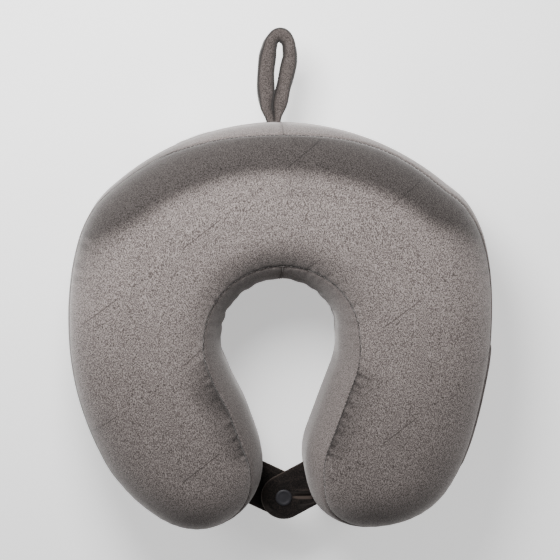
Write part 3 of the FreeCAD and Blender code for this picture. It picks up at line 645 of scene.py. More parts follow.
def profile_rings():
    """For each ring from the middle of the underside to the middle of the top: its insets and levels
    at all stations. The low and high seams are the rings between the band and the two panels."""
    whole = np.ones(RING)
    low_seam = np.arccos(1 - BOTTOM_SEAM_INSET / EDGE_ROLL) * whole
    high_seam = np.arccos(1 - TOP_SEAM / EDGE_ROLL)
    rings = []

    def rolled(inset):
        return np.sqrt(np.maximum(UPPER_ROLL**2 - np.maximum(EDGE_ROLL - inset, 0) ** 2, 0))

    edge = EDGE_ROLL - UPPER_ROLL * np.cos(low_seam)
    for share in UNDER_SHARES:
        inset = edge + (INNER_EDGE - edge) * share
        rings.append((inset, EDGE_ROLL - rolled(inset) - SLIM * smoothstep(12 * MM, 30 * MM, inset)))
    for share in LOW_SHARES:
        angle = low_seam * (1 - share)
        rings.append((EDGE_ROLL - UPPER_ROLL * np.cos(angle), EDGE_ROLL - UPPER_ROLL * np.sin(angle)))
    for level in np.linspace(EDGE_ROLL, UPPER_CENTRE, STRAIGHT_ROWS)[1:-1]:
        rings.append((SLIM * whole, level * whole))
    for share in HIGH_SHARES:
        angle = high_seam * share
        rings.append((EDGE_ROLL - UPPER_ROLL * np.cos(angle), UPPER_CENTRE + UPPER_ROLL * np.sin(angle)))
    edge = EDGE_ROLL - UPPER_ROLL * np.cos(high_seam)
    for share in OVER_SHARES:
        inset = edge + (INNER_EDGE - edge) * share
        rings.append((inset, UPPER_CENTRE + rolled(inset)))
    return rings, len(UNDER_SHARES) - 1, len(rings) - len(OVER_SHARES)


PROFILE, LOW_SEAM, HIGH_SEAM = profile_rings()
ROWS = len(PROFILE)


def row(number):
    return slice(number * RING, (number + 1) * RING)


def bridge_rows(edge):
    """Points that close a ring across its spine, from each outer station to the inner one facing it."""
    shares = (np.arange(1, BRIDGE + 1) / (BRIDGE + 1))[:, None]
    return np.concatenate([
        edge[k] * (1 - shares) + edge[RING - k] * shares for k in range(1, LEFT_END)
    ])


def bridge_faces(edge_start, bridge_start, flip=False):
    """Quads of that closing strip, with a fan at each lobe's end."""
    def vert(k, j):
        if j == 0:
            return edge_start + k
        if j == BRIDGE + 1:
            return edge_start + RING - k
        return bridge_start + (k - 1) * BRIDGE + j - 1

    last = LEFT_END - 1
    faces = []
    for j in range(BRIDGE + 1):
        for k in range(1, last):
            faces.append((vert(k, j), vert(k + 1, j), vert(k + 1, j + 1), vert(k, j + 1)))
        faces.append((edge_start, vert(1, j), vert(1, j + 1)))
        faces.append((edge_start + LEFT_END, vert(last, j + 1), vert(last, j)))
    return [face[::-1] for face in faces] if flip else faces


# The real pillow isn't even: both lobes lean to the right, the throat is off centre and the hole is wide
LOBE_LEAN = 6.2 * MM
LEFT_SIDE_LEAN = 0.8 * MM
THROAT_LEAN = 3.5 * MM
HOLE_LEAN = 3.0 * MM
HOLE_BACK = 2.6 * MM
HOLE_WIDER = 0.04
HOLE_ASIDE = 1.0 * MM
SHOULDER_PUSH = (1.0 * MM, 2.3 * MM)


def fade(start, end, value):
    """1 up to the start, falling smoothly to 0 at the end."""
    return 1 - smoothstep(start, end, value)


def lean(points):
    """Shifts points of the even form in plan, by smooth amounts that follow the places named above."""
    x, y = points[:, 0].copy(), points[:, 1] - LOBE_ENDS
    outer_right = LOBE_LEAN * fade(25 * MM, 105 * MM, y)
    outer_left = LOBE_LEAN * fade(8 * MM, 50 * MM, y) + LEFT_SIDE_LEAN * fade(45 * MM, 110 * MM, y)
    inner_right = THROAT_LEAN * smoothstep(12 * MM, 40 * MM, y) * fade(113 * MM, 142 * MM, y)
    inner_left = -HOLE_LEAN * smoothstep(88 * MM, 113 * MM, y) * fade(120 * MM, 150 * MM, y)
    outer = smoothstep(35 * MM, 105 * MM, np.abs(x))
    moved = points.copy()
    moved[:, 0] += np.where(
        x > 0,
        inner_right + (outer_right - inner_right) * outer,
        inner_left + (outer_left - inner_left) * outer,
    )
    near_hole = smoothstep(110 * MM, 150 * MM, y) * fade(42 * MM, 85 * MM, np.hypot(x, y - NECK_CENTRE))
    moved[:, 0] += near_hole * (HOLE_WIDER * x - HOLE_ASIDE)
    moved[:, 1] += near_hole * HOLE_BACK
    from_back = y - (BACK - LOBE_ENDS - BACK_RADIUS)
    turn = np.degrees(np.arctan2(np.abs(x), from_back))
    shoulder = smoothstep(39, 47, turn) * fade(54, 78, turn)
    shoulder *= smoothstep(100 * MM, 165 * MM, np.hypot(x, from_back))
    push = np.where(x > 0, SHOULDER_PUSH[1], SHOULDER_PUSH[0]) * shoulder
    moved[:, 0] += push * np.sin(np.radians(turn)) * np.sign(x)
    moved[:, 1] += push * np.cos(np.radians(turn))
    return moved


def build_form():
    """The whole closed form: its points, its faces, and which panel each face is in."""
    verts = np.concatenate([
        np.column_stack([OUTLINE + INWARD * inset[:, None], level]) for inset, level in PROFILE
    ])
    faces, panel = [], []
    for number in range(ROWS - 1):
        for i in range(RING):
            j = (i + 1) % RING
            low, high = number * RING, (number + 1) * RING
            faces.append((low + i, low + j, high + j, high + i))
            if number < LOW_SEAM:
                panel.append("bottom")
            elif number >= HIGH_SEAM:
                panel.append("top")
            else:
                panel.append("right" if i < HALF_RING or i >= NECK_STATION else "left")
    for edge_start, name in (((ROWS - 1) * RING, "top"), (0, "bottom")):
        made = bridge_faces(edge_start, len(verts), flip=name == "bottom")
        verts = np.concatenate([verts, bridge_rows(verts[edge_start:edge_start + RING])])
        faces += made
        panel += [name] * len(made)
    return lean(verts), faces, np.array(panel)


def evened(obj, move, held, rounds):
    """The movement averaged between neighbours, which takes the short creases out of a puffed form."""
    ends = np.empty(2 * len(obj.data.edges), dtype=np.int64)
    obj.data.edges.foreach_get("vertices", ends)
    ends = ends.reshape(-1, 2)
    mine, other = np.concatenate([ends[:, 0], ends[:, 1]]), np.concatenate([ends[:, 1], ends[:, 0]])
    neighbours = np.bincount(mine, minlength=len(move))
    for _ in range(rounds):
        around = np.column_stack([np.bincount(mine, move[other, axis], len(move)) for axis in range(3)])
        move = np.where(held[:, None] > 0, move, (move + around / neighbours[:, None]) / 2)
    return move


def inflate(obj, held, pressure, cap, slack, frames=20, stiffness=15.0, bending=0.5, rounds=0):
    """Cloth simulation under air pressure, with some points held; no point moves more than the cap."""
    rest = coords(obj)
    group = obj.vertex_groups.new(name="held")
    group.add([int(i) for i in np.flatnonzero(held)], 1.0, "REPLACE")
    cloth = obj.modifiers.new("Puff", "CLOTH")
    settings = cloth.settings
    settings.quality = 6
    settings.mass = 0.3
    settings.tension_stiffness = settings.compression_stiffness = stiffness
    settings.shear_stiffness = stiffness / 2
    settings.bending_stiffness = bending
    settings.use_pressure = True
    settings.uniform_pressure_force = pressure
    settings.shrink_min = -slack
    settings.vertex_group_mass = "held"
    settings.effector_weights.gravity = 0
    cloth.collision_settings.use_collision = False
    scene = bpy.context.scene
    for number in range(1, frames + 1):
        scene.frame_set(number)
    graph = bpy.context.evaluated_depsgraph_get()
    puffed = coords(obj.evaluated_get(graph))
    obj.modifiers.clear()
    move = evened(obj, puffed - rest, held, rounds)
    length = np.linalg.norm(move, axis=1)
    limit = cap * np.tanh(length / cap) / np.maximum(length, 1e-9)
    print(f"{obj.name}: moved up to {length.max() * 1000:.1f} mm, mean {length.mean() * 1000:.2f}")
    set_coords(obj, rest + move * limit[:, None])
    obj.vertex_groups.clear()
    scene.frame_set(1)


# Seams, gathers and puckers -----------------------------------------------------------------------

SEAM_DEPTH = 1.1 * MM
SEAM_SHOULDER = 0.3 * MM
SEAM_LIP = 1.2 * MM
GATHER_DEPTH = 1.15 * MM
PUCKER_PITCH = 7 * MM
PUCKER_DEPTH = 0.2 * MM
STITCH_PITCH = 3.1 * MM

STEPS = np.hypot(*np.diff(np.vstack([OUTLINE, OUTLINE[:1]]), axis=0).T)
ALONG = np.cumsum(STEPS) - STEPS

# The zipper lies in the bottom seam, on an arc about the centre of the back
ZIP_CENTRE = np.array([0.0, BACK - BACK_RADIUS])
ZIP_ANGLE = math.radians(76)
ZIP_STOP_ANGLE = math.radians(0.6)
ZIP_OPENING = 2.6 * MM
ZIP_LIP = 0.4 * MM
SEAM_SLOPE = math.acos(1 - BOTTOM_SEAM_INSET / EDGE_ROLL)
SEAM_OUT = (math.cos(SEAM_SLOPE), -math.sin(SEAM_SLOPE))
SEAM_UP = (math.sin(SEAM_SLOPE), math.cos(SEAM_SLOPE))
SEAM_RADIUS = BACK_RADIUS - BOTTOM_SEAM_INSET
SEAM_LEVEL = EDGE_ROLL * (1 - math.sin(SEAM_SLOPE))
BEARINGS = np.arctan2(OUTLINE[:, 0], OUTLINE[:, 1] - ZIP_CENTRE[1])
ZIP_SHARE = np.where(
    INNER_SIDE < 0.5,
    1 - smoothstep(ZIP_ANGLE / 2 + ZIP_STOP_ANGLE, ZIP_ANGLE / 2 + 4 * ZIP_STOP_ANGLE, np.abs(BEARINGS)),
    0.0,
)


# The top seam shows least on the left flank: its groove is shallow there, and its thread lies deep
FLANK = smoothstep(58 * MM, 88 * MM, -OUTLINE[:, 0]) * (1 - INNER_SIDE)
FLANK_THREAD_DEPTH = 0.7 * MM
FLANK_LIP = 0.12 * MM


def sew(co, normals):
    """Draws the seams in, with puckers beside them, folds behind the neck and a peak at the loop."""
    for seam, share in ((LOW_SEAM, np.ones(RING)), (HIGH_SEAM, 1 - 0.9 * FLANK)):
        co[row(seam)] -= normals[row(seam)] * (SEAM_DEPTH * share)[:, None]
        for beside in (seam - 1, seam + 1):
            co[row(beside)] -= normals[row(beside)] * (SEAM_SHOULDER * share)[:, None]
        wave = ripple(ALONG, seam, 2 * math.pi / (PUCKER_PITCH * 1.5), 2 * math.pi / (PUCKER_PITCH * 0.6))
        for away, strength in ((1, 1.0), (2, 1.0), (3, 0.7), (4, 0.4)):
            for beside in (seam - away, seam + away):
                co[row(beside)] += normals[row(beside)] * (wave * PUCKER_DEPTH * strength)[:, None]
    for station in (BACK_STATION, NECK_STATION):
        column = np.arange(LOW_SEAM + 1, HIGH_SEAM) * RING + station
        co[column] -= normals[column] * 0.45 * MM
    left_more = np.where(OUTLINE[:, 0] < 0, 1.0, 0.55)
    reach = np.where(INNER_SIDE > 0.5, 1 - smoothstep(0.5, 1.0, NECK_ARC), 0) * left_more
    folds = np.tanh(1.2 * ripple(ALONG, 3, 2 * math.pi / (17 * MM), 2 * math.pi / (9 * MM)))
    peak = np.exp(-((OUTLINE[:, 0] / (15 * MM)) ** 2)) * (1 - INNER_SIDE)
    low, high = SEAM_LEVEL, UPPER_CENTRE + EDGE_ROLL * 0.7
    for number in range(LOW_SEAM - 6, HIGH_SEAM):
        level = co[number * RING + NECK_STATION, 2]
        if number < LOW_SEAM:
            strength = 1 - (LOW_SEAM - number) / 7
        else:
            strength = 1 - 0.9 * smoothstep(0.35, 0.95, (level - low) / (high - low))
        near_loop = math.exp(-(((level - LOOP_MIDDLE) / (18 * MM)) ** 2))
        shift = folds * reach * GATHER_DEPTH * strength + peak * near_loop * LOOP_PEAK
        co[row(number), :2] -= INWARD * shift[:, None]
    co[:, 2] = np.maximum(co[:, 2], 0.0)
    return co


def open_for_zipper(co, side):
    """Parts the fabric at the zipper: the band's edge goes up (side 1), the bottom panel's down (-1)."""
    up = np.column_stack([-INWARD * SEAM_UP[0], np.full(RING, SEAM_UP[1])])
    parted = co.copy()
    seam = co[row(LOW_SEAM)]
    for away in range(0, 7):
        number = LOW_SEAM + side * away
        gap = np.linalg.norm(co[row(number)] - seam, axis=1)
        move = ZIP_OPENING * np.exp(-gap / (3 * MM)) * ZIP_SHARE
        parted[row(number)] += up * (side * move)[:, None]
        ideal = zip_surface(BEARINGS, gap + move, side)
        flat = (1 - smoothstep(4 * MM, 9 * MM, gap)) * ZIP_SHARE
        parted[row(number)] += (ideal - parted[row(number)]) * flat[:, None]
    return parted


def zip_surface(bearing_angle, distance, side):
    """Points on the cover beside the zipper, a distance along the rolled edge from its middle."""
    turn = SEAM_SLOPE - side * distance / EDGE_ROLL
    dip = 0.55 * MM * np.exp(-distance / (2.5 * MM))
    radius = BACK_RADIUS - EDGE_ROLL + (UPPER_ROLL - dip) * np.cos(turn)
    level = EDGE_ROLL - (UPPER_ROLL - dip) * np.sin(turn)
    return np.column_stack([
        ZIP_CENTRE[0] + radius * np.sin(bearing_angle),
        ZIP_CENTRE[1] + radius * np.cos(bearing_angle),
        level,
    ])


def panel_piece(name, co, faces, material, lips):
    """One panel cut from the form, with its edges turned in at the seams by the lip of each point."""
    obj, used = cut_out(name, co, faces, material)
    point_outwards(obj)
    upward = np.mean([face.normal.z * face.area for face in obj.data.polygons])
    if upward * (name != "cover_bottom" or -1) < 0:
        obj.data.flip_normals()
    work = bmesh.new()
    work.from_mesh(obj.data)
    work.normal_update()
    work.verts.index_update()
    rim = [edge for edge in work.edges if edge.is_boundary]
    old = {vert: (vert.normal.copy(), float(lips[used[vert.index]])) for edge in rim for vert in edge.verts}
    made = bmesh.ops.extrude_edge_only(work, edges=rim)["geom"]
    fresh = {item for item in made if isinstance(item, bmesh.types.BMVert)}
    for vert in fresh:
        source = next(edge.other_vert(vert) for edge in vert.link_edges if edge.other_vert(vert) in old)
        normal, depth = old[source]
        vert.co -= normal * depth
    work.to_mesh(obj.data)
    work.free()
    return obj


def make_cover():
    """The cover's four panels, puffed as one form and then cut apart at the seams."""
    verts, faces, panel = build_form()
    form = new_object("cover_form", verts, faces)
    point_outwards(form)
    held = np.zeros(len(verts))
    for seam in (LOW_SEAM, HIGH_SEAM):
        held[row(seam)] = 1
    for station in (BACK_STATION, NECK_STATION):
        held[np.arange(LOW_SEAM, HIGH_SEAM + 1) * RING + station] = 1
    held[verts[:, 2] < 1.2 * MM] = 1
    inflate(form, held, pressure=4.0, cap=2.2 * MM, slack=0.004, rounds=28)
    smooth = coords(form)
    normals = vertex_normals(form)
    bpy.data.objects.remove(form)
    co = sew(smooth.copy(), normals)
    lips = np.full(len(co), SEAM_LIP)
    lips[row(LOW_SEAM)] = SEAM_LIP + (ZIP_LIP - SEAM_LIP) * ZIP_SHARE
    lips[row(HIGH_SEAM)] = SEAM_LIP + (FLANK_LIP - SEAM_LIP) * FLANK
    faces = np.array(faces, dtype=object)
    for name, node, key, material, side in (
        ("cover_top", "cover_top_panel", "top", VELOUR_EMBOSSED, 0),
        ("cover_bottom", "cover_bottom_panel", "bottom", VELOUR_UNDER, -1),
        ("band_right", "side_band_right", "right", VELOUR_BAND, 1),
        ("band_left", "side_band_left", "left", VELOUR_BAND, 1),
    ):
        place = open_for_zipper(co, side) if side else co
        piece = panel_piece(name, place, faces[panel == key], material, lips)
        subdivide(piece)
        finish_piece(piece, "pillow", "velour", node)
    return co, smooth, normals, faces


def finish_piece(piece, body, slot, *nodes):
    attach(piece, body)
    if nodes:
        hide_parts(*nodes)
    return piece


# Inside the cover ---------------------------------------------------------------------------------

LINER_DEPTH = 3.4 * MM
LINER_THICKNESS = 0.6 * MM
FOAM_DEPTH = 4.6 * MM


def make_inside(smooth, normals, faces):
    """The foam core and the liner's two halves, which follow the cover's form inside it."""
    inner = smooth - normals * FOAM_DEPTH
    foam = new_object("foam", inner, faces, FOAM)
    point_outwards(foam)
    finish_piece(foam, "pillow", "foam", "foam_core")
    skin = smooth - normals * LINER_DEPTH
    middle_row = (LOW_SEAM + HIGH_SEAM) // 2
    heights = np.array([smooth[list(face), 2].mean() for face in faces])
    split = smooth[row(middle_row), 2].mean()
    for name, node, mine in (
        ("liner_top", "liner_upper", heights > split), ("liner_bottom", "liner_lower", heights < split),
    ):
        half, _ = cut_out(name, skin, faces[mine], LINER_KNIT)
        point_outwards(half)
        shell = half.modifiers.new("Thickness", "SOLIDIFY")
        shell.thickness = LINER_THICKNESS
        shell.offset = -1
        apply_modifiers(half)
        finish_piece(half, "pillow", "liner_knit", node)


# Thread -------------------------------------------------------------------------------------------


def resample(points, normals, pitch, closed=False):
    """Evenly spaced places along a path: points, directions and normals."""
    if closed:
        points = np.vstack([points, points[:1]])
        normals = np.vstack([normals, normals[:1]])
    steps = np.r_[0, np.cumsum(np.linalg.norm(np.diff(points, axis=0), axis=1))]
    count = max(2, int(steps[-1] / pitch))
    places = (np.arange(count) + 0.5) * steps[-1] / count
    way = between(places + pitch / 4, steps, points) - between(places - pitch / 4, steps, points)
    return between(places, steps, points), unit(way), unit(between(places, steps, normals))


def stitches(name, points, normals, material=THREAD_LIGHT, length=2.2 * MM, radius=0.2 * MM, lift=0.0,
             closed=False, pitch=STITCH_PITCH):
    """A row of thread stitches lying along a path, each a little arched with its ends in the fabric."""
    at, way, up = resample(points, normals, pitch, closed)
    side = np.cross(up, way)
    shape = [(-0.5, -0.6, 0.55), (-0.3, 0.15, 1.0), (0.0, 0.35, 1.05), (0.3, 0.15, 1.0), (0.5, -0.6, 0.55)]
    corners = 6
    verts, faces = [], []
    for run, rise, fat in shape:
        centre = at + way * (run * length) + up * (lift + rise * radius)
        for i in range(corners):
            turn = 2 * math.pi * i / corners
            across, above = radius * fat * math.cos(turn), radius * fat * math.sin(turn)
            verts.append(centre + side * across + up * above)
    verts = np.stack(verts, 1)
    per = verts.shape[1]
    for number in range(len(at)):
        base = number * per
        for ring in range(len(shape) - 1):
            for i in range(corners):
                j = (i + 1) % corners
                low, high = base + ring * corners, base + (ring + 1) * corners
                faces.append((low + i, low + j, high + j, high + i))
        faces.append([base + i for i in range(corners)][::-1])
        faces.append([base + per - corners + i for i in range(corners)])
    obj = new_object(name, verts.reshape(-1, 3), faces, material)
    return finish_piece(obj, "pillow", "velour")


def make_seam_thread(co, normals):
    for name, seam in (("top_seam_thread", HIGH_SEAM), ("bottom_seam_thread", LOW_SEAM)):
        points, up = co[row(seam)], normals[row(seam)]
        if seam == LOW_SEAM:
            away = np.flatnonzero(ZIP_SHARE > 0)
            order = np.roll(np.arange(RING), -away.max() - 2)[:RING - len(away) - 3]
            stitches(name, points[order], up[order], THREAD, radius=0.3 * MM, lift=-0.1 * MM)
        else:
            sunk = points - up * (FLANK_THREAD_DEPTH * FLANK)[:, None]
            stitches(name, sunk, up, THREAD, 2.5 * MM, 0.42 * MM, lift=-0.05 * MM, closed=True)
    for name, station in (("back_seam_thread", BACK_STATION), ("neck_seam_thread", NECK_STATION)):
        column = np.arange(LOW_SEAM + 2, HIGH_SEAM) * RING + station
        stitches(name, co[column], normals[column], lift=-0.15 * MM)


# Pieces that lie on the band ----------------------------------------------------------------------


def band_sheet(name, co, normals, stations, heights, lift, thickness, material, slot, node):
    """A closed thin sheet on the band, over these stations and heights, lifted by a grid of amounts."""
    rows = np.arange(LOW_SEAM - 5, HIGH_SEAM + 1)
    points = np.empty((len(stations), len(heights), 3))
    ups = np.empty_like(points)
    for a, station in enumerate(stations):
        column = rows * RING + station
        levels = np.maximum.accumulate(co[column, 2] + np.arange(len(rows)) * 1e-9)
        for axis in range(3):
            points[a, :, axis] = np.interp(heights, levels, co[column, axis])
            ups[a, :, axis] = np.interp(heights, levels, normals[column, axis])
    ups = unit(ups)
    outer = points + ups * (lift + thickness)[:, :, None]
    inner = points + ups * lift[:, :, None]
    wide, tall = len(stations), len(heights)
    verts = np.concatenate([outer.reshape(-1, 3), inner.reshape(-1, 3)])
    faces = slab_faces(np.arange(wide * tall).reshape(wide, tall).T)
    obj = new_object(name, verts, faces, material)
    point_outwards(obj)
    subdivide(obj)
    finish_piece(obj, "pillow", slot, node)
    return obj, outer, ups


def edge_grid(wide, tall, margin_wide, margin_tall):
    """1 inside a grid, falling in a rounded way to 0 at its border."""
    a = np.minimum(np.arange(wide), np.arange(wide)[::-1])[:, None] / margin_wide
    b = np.minimum(np.arange(tall), np.arange(tall)[::-1])[None, :] / margin_tall
    near = np.clip(np.minimum(a, b), 0, 1)
    return np.sqrt(1 - (1 - near) ** 2)


def make_pocket(co, normals):
    """The phone pocket on the right outer side, its bound hem and its edge stitching."""
    low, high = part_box("pocket_panel")
    hem_low, hem_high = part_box("pocket_hem")
    on_side = np.flatnonzero((OUTLINE[:, 0] > 0) & (INNER_SIDE < 0.5)
                             & (OUTLINE[:, 1] > low.y) & (OUTLINE[:, 1] < high.y))
    heights = np.linspace(low.z, high.z, 26)
    wide, tall = len(on_side), len(heights)
    across = np.linspace(0, 1, wide)[:, None]
    upward = np.linspace(0, 1, tall)[None, :]
    border = edge_grid(wide, tall, 2, 2)
    bulge = np.sin(math.pi * across) ** 0.7 * np.sin(math.pi * (0.15 + 0.75 * upward))
    slack = ripple(across * 6 + upward * 3, 21, 1, 3) * 0.15 * MM
    lift = (0.1 + 0.1 * border + 0.3 * bulge) * MM + slack * border
    thickness = (0.3 + 0.7 * border) * MM
    piece, outer, ups = band_sheet(
        "phone_pocket", co, normals, on_side, heights, lift, thickness, VELOUR_BAND, "velour",
        "pocket_panel",
    )
    inset = 2
    path, path_up = (
        np.concatenate([grid[inset, ::-1], grid[inset:-inset, 1], grid[-inset - 1, :]])
        for grid in (outer, ups)
    )
    stitches("pocket_stitching", path, path_up, lift=0.05 * MM)
    heights = np.linspace(hem_low.z, hem_high.z, 12)
    wide, tall = len(on_side), len(heights)
    along = np.linspace(0, 1, wide)[:, None]
    border = edge_grid(wide, tall, 1.5, 4)
    wave = ripple(along * 40, 5, 1, 3) * 0.12 * MM
    ends = smoothstep(0.9, 1.0, along) + smoothstep(0.1, 0.0, along)
    lift = (0.1 + 0.08 * np.sin(math.pi * along) ** 0.6 - 0.06 * ends) * MM * np.ones((wide, tall))
    lift += wave / 2
    thickness = (0.3 + 0.75 * border) * MM
    hem, outer, ups = band_sheet(
        "pocket_binding", co, normals, on_side, heights, lift, thickness, VELOUR_BAND, "velour",
        "pocket_hem",
    )
    stitches("hem_stitching", outer[:, 3], ups[:, 3], lift=0.05 * MM)


def make_label(co, normals):
    """The blank satin care label, sewn along its top edge and a little curled below."""
    low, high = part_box("care_label")
    mine = np.flatnonzero((OUTLINE[:, 1] > 0) & (INNER_SIDE < 0.5)
                          & (OUTLINE[:, 0] > low.x) & (OUTLINE[:, 0] < high.x))
    heights = np.linspace(low.z, high.z, 20)
    border = edge_grid(len(mine), len(heights), 1, 1)
    fall = np.linspace(1, 0, len(heights))[None, :]
    curl = (0.25 + 0.9 * fall**3) * MM
    lift = curl + ripple(np.linspace(0, 5, len(mine)), 9, 1, 2)[:, None] * fall * 0.2 * MM
    piece, outer, ups = band_sheet(
        "blank_label", co, normals, mine, heights, lift, (0.1 + 0.2 * border) * MM, LABEL,
        "label_satin", "care_label",
    )
    stitches("label_stitching", outer[1:-1, -3], ups[1:-1, -3], length=1.5 * MM, radius=0.14 * MM,
             pitch=2.1 * MM)


def make_elastic(co, normals):
    """The gathered elastic that draws the band in behind the neck, inside the bottom seam."""
    low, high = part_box("neck_elastic")
    reach = math.radians(68)
    angle = np.arctan2(OUTLINE[:, 0], OUTLINE[:, 1] - (LOBE_ENDS + NECK_CENTRE))
    mine = np.flatnonzero((INNER_SIDE > 0.5) & (np.abs(angle) < reach))
    heights = np.linspace(low.z, high.z, 8)
    ones = np.ones((len(mine), len(heights)))
    lift = ones * -2.0 * MM + ripple(ALONG[mine], 4, 1500, 2600)[:, None] * 0.15 * MM
    band_sheet(
        "gathering_elastic", co, normals, mine, heights, lift, ones * 0.5 * MM, ELASTIC,
        "elastic", "neck_elastic",
    )


# Zipper -------------------------------------------------------------------------------------------

TAPE_FAR = 6 * MM
TAPE_NEAR = 0.7 * MM
TAPE_BACK = -1.9 * MM
TAPE_FRONT = -1.5 * MM
COIL_PITCH = 1.6 * MM
COIL_WIRE = 0.16 * MM
COIL_MIDDLE = 1.42 * MM
COIL_REACH = 0.8 * MM
COIL_LEVEL = -0.96 * MM
COIL_RISE = 0.38 * MM


def zip_point(angle, up, out):
    """Points by bearing about the back's centre, distance up along the surface, and height off it."""
    radius = SEAM_RADIUS + up * SEAM_UP[0] + out * SEAM_OUT[0]
    level = SEAM_LEVEL + up * SEAM_UP[1] + out * SEAM_OUT[1] + 0 * angle
    return np.stack([
        ZIP_CENTRE[0] + radius * np.sin(angle), ZIP_CENTRE[1] + radius * np.cos(angle), level
    ], -1)


def make_tape(name, node, side):
    turns = np.linspace(-ZIP_ANGLE / 2, ZIP_ANGLE / 2, 150)
    corners = [
        (TAPE_NEAR, TAPE_BACK), (TAPE_NEAR, TAPE_FRONT), (TAPE_NEAR + 1.6 * MM, TAPE_FRONT),
        (TAPE_FAR - 1.2 * MM, TAPE_FRONT), (TAPE_FAR, TAPE_FRONT - 0.1 * MM), (TAPE_FAR, TAPE_BACK),
        (TAPE_FAR - 1.2 * MM, TAPE_BACK - 0.05 * MM),
    ]
    rings = [
        np.array([zip_point(turn, side * up, out) for up, out in corners]) for turn in turns
    ]
    verts, faces = loft(rings)
    obj = new_object(name, verts, faces, TAPE)
    point_outwards(obj)
    finish_piece(obj, "pillow", "zipper_tape", node)


def make_coil(name, node, side):
    """A spiral of nylon wire along one tape's edge: each turn is a tooth."""
    teeth = int(SEAM_RADIUS * ZIP_ANGLE / COIL_PITCH)
    per_turn = 12
    count = teeth * per_turn
    spin = np.arange(count) * 2 * math.pi / per_turn
    turn = np.linspace(-ZIP_ANGLE / 2 + 0.004, ZIP_ANGLE / 2 - 0.004, count)
    up = side * (COIL_MIDDLE + COIL_REACH * np.cos(spin))
    path = zip_point(turn, up, COIL_LEVEL + COIL_RISE * np.sin(spin))
    way = unit(np.gradient(path, axis=0))
    centre = zip_point(turn, side * COIL_MIDDLE, COIL_LEVEL)
    outward = path - centre
    outward = unit(outward - (outward * way).sum(1)[:, None] * way)
    across = np.cross(way, outward)
    corners = 6
    rings = []
    for i in range(count):
        turns = [2 * math.pi * j / corners for j in range(corners)]
        rings.append([
            path[i] + COIL_WIRE * (math.cos(a) * outward[i] + math.sin(a) * across[i]) for a in turns
        ])
    verts, faces = loft(rings)
    obj = new_object(name, verts, faces, COIL)
    point_outwards(obj)
    finish_piece(obj, "pillow", "zipper_coil", node)


def make_zipper():
    for word, side in (("upper", 1), ("lower", -1)):
        make_tape(f"zip_tape_{word}", f"zipper_tape_{word}", side)
        make_coil(f"zip_coil_{word}", f"zipper_coil_{word}", side)
        turns = np.linspace(-ZIP_ANGLE / 2, ZIP_ANGLE / 2, 200)
        path = zip_surface(turns, np.full(200, 5.2 * MM), side)
        middle = np.column_stack([
            (BACK_RADIUS - EDGE_ROLL) * np.sin(turns),
            ZIP_CENTRE[1] + (BACK_RADIUS - EDGE_ROLL) * np.cos(turns),
            np.full(200, EDGE_ROLL),
        ])
        stitches(f"zip_stitching_{word}", path, unit(path - middle), lift=0.1 * MM)
    for node in ("zipper_slider", "zipper_pull_tab", "zipper_stop_closed", "zipper_stop_open"):
        obj = frame["nodes"][node]
        obj.data.materials.clear()
        obj.data.materials.append(ZIPPER_METAL)
        bevel = obj.modifiers.new("Soft edges", "BEVEL")
        bevel.width = 0.22 * MM
        bevel.segments = 3
        bevel.limit_method = "ANGLE"
        bevel.angle_limit = math.radians(40)


# Hanging loop -------------------------------------------------------------------------------------


def smooth_path(points, count):
    """A smooth curve through a few points, each with any number of values."""
    points = np.asarray(points, float)
    ghost = np.vstack([2 * points[0] - points[1], points, 2 * points[-1] - points[-2]])
    places = np.linspace(0, len(points) - 1 - 1e-9, count)
    piece = places.astype(int)
    t = (places - piece)[:, None]
    a, b, c, d = (ghost[piece + i] for i in range(4))
    return 0.5 * (2 * b + (c - a) * t + (2 * a - 5 * b + 4 * c - d) * t**2 + (3 * b - a - 3 * c + d) * t**3)


# How far the loop's crest lies towards its outer edge, as a share of the tape's half width
LOOP_CREST = 0.28


def make_loop():
    """A plump velour tape folded into a loop: up its left limb, over the tip and down its right limb.
    Each row is a place across and up the loop's box, and the tape's width there, in millimetres."""
    up = (LOOP_HIGH.y - LOOP_LOW.y) / MM
    route = smooth_path([
        (-4.8, -6.0, 6.4), (-7.0, 1.5, 7.6), (-9.4, 9.0, 10.6), (-9.9, 18.0, 11.9), (-10.0, 30.5, 11.8),
        (-8.9, 42.0, 12.0), (-7.4, 50.0, 11.2), (-5.4, 55.0, 10.4),
        (-2.2, up - 5.6, 10.8), (1.6, up - 5.6, 10.8),
        (5.0, 54.5, 10.4), (6.5, 49.0, 10.6), (6.9, 42.5, 10.2), (5.4, 34.5, 11.2), (3.5, 26.0, 11.2),
        (1.2, 17.5, 11.3), (-0.6, 9.0, 10.6), (-2.2, 1.5, 7.0), (-3.4, -6.0, 6.2),
    ], 170) * MM
    centre = np.column_stack([route[:, 0], LOOP_LOW.y + route[:, 1], np.full(len(route), LOOP_MIDDLE)])
    side = np.cross(unit(np.gradient(centre, axis=0)), (0, 0, 1.0))
    share = np.linspace(0, 1, len(route))
    sway = ripple(share, 31, 5, 22)
    rings = []
    corners = 28
    for i in range(len(route)):
        wide = route[i, 2] / 2
        tall = (4.2 + 0.7 * math.sin(math.pi * share[i])) * MM
        ring = []
        for j in range(corners):
            turn = 2 * math.pi * j / corners
            c, s = math.cos(turn), math.sin(turn)
            c = math.copysign(abs(c) ** 0.95, c) - LOOP_CREST * s * s
            dent = 1 - 0.07 * math.cos(2 * turn + 2.2 * sway[i]) - 0.03 * sway[(i * 3) % len(route)]
            ring.append(centre[i] + side[i] * wide * c * dent + np.array([0, 0, tall * s * dent]))
        rings.append(ring)
    verts, faces = loft(rings)
    obj = new_object("loop_tape", verts, faces, LOOP_VELOUR)
    point_outwards(obj)
    subdivide(obj)
    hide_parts("hang_loop")
    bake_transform(obj)


# Straps and snap ----------------------------------------------------------------------------------

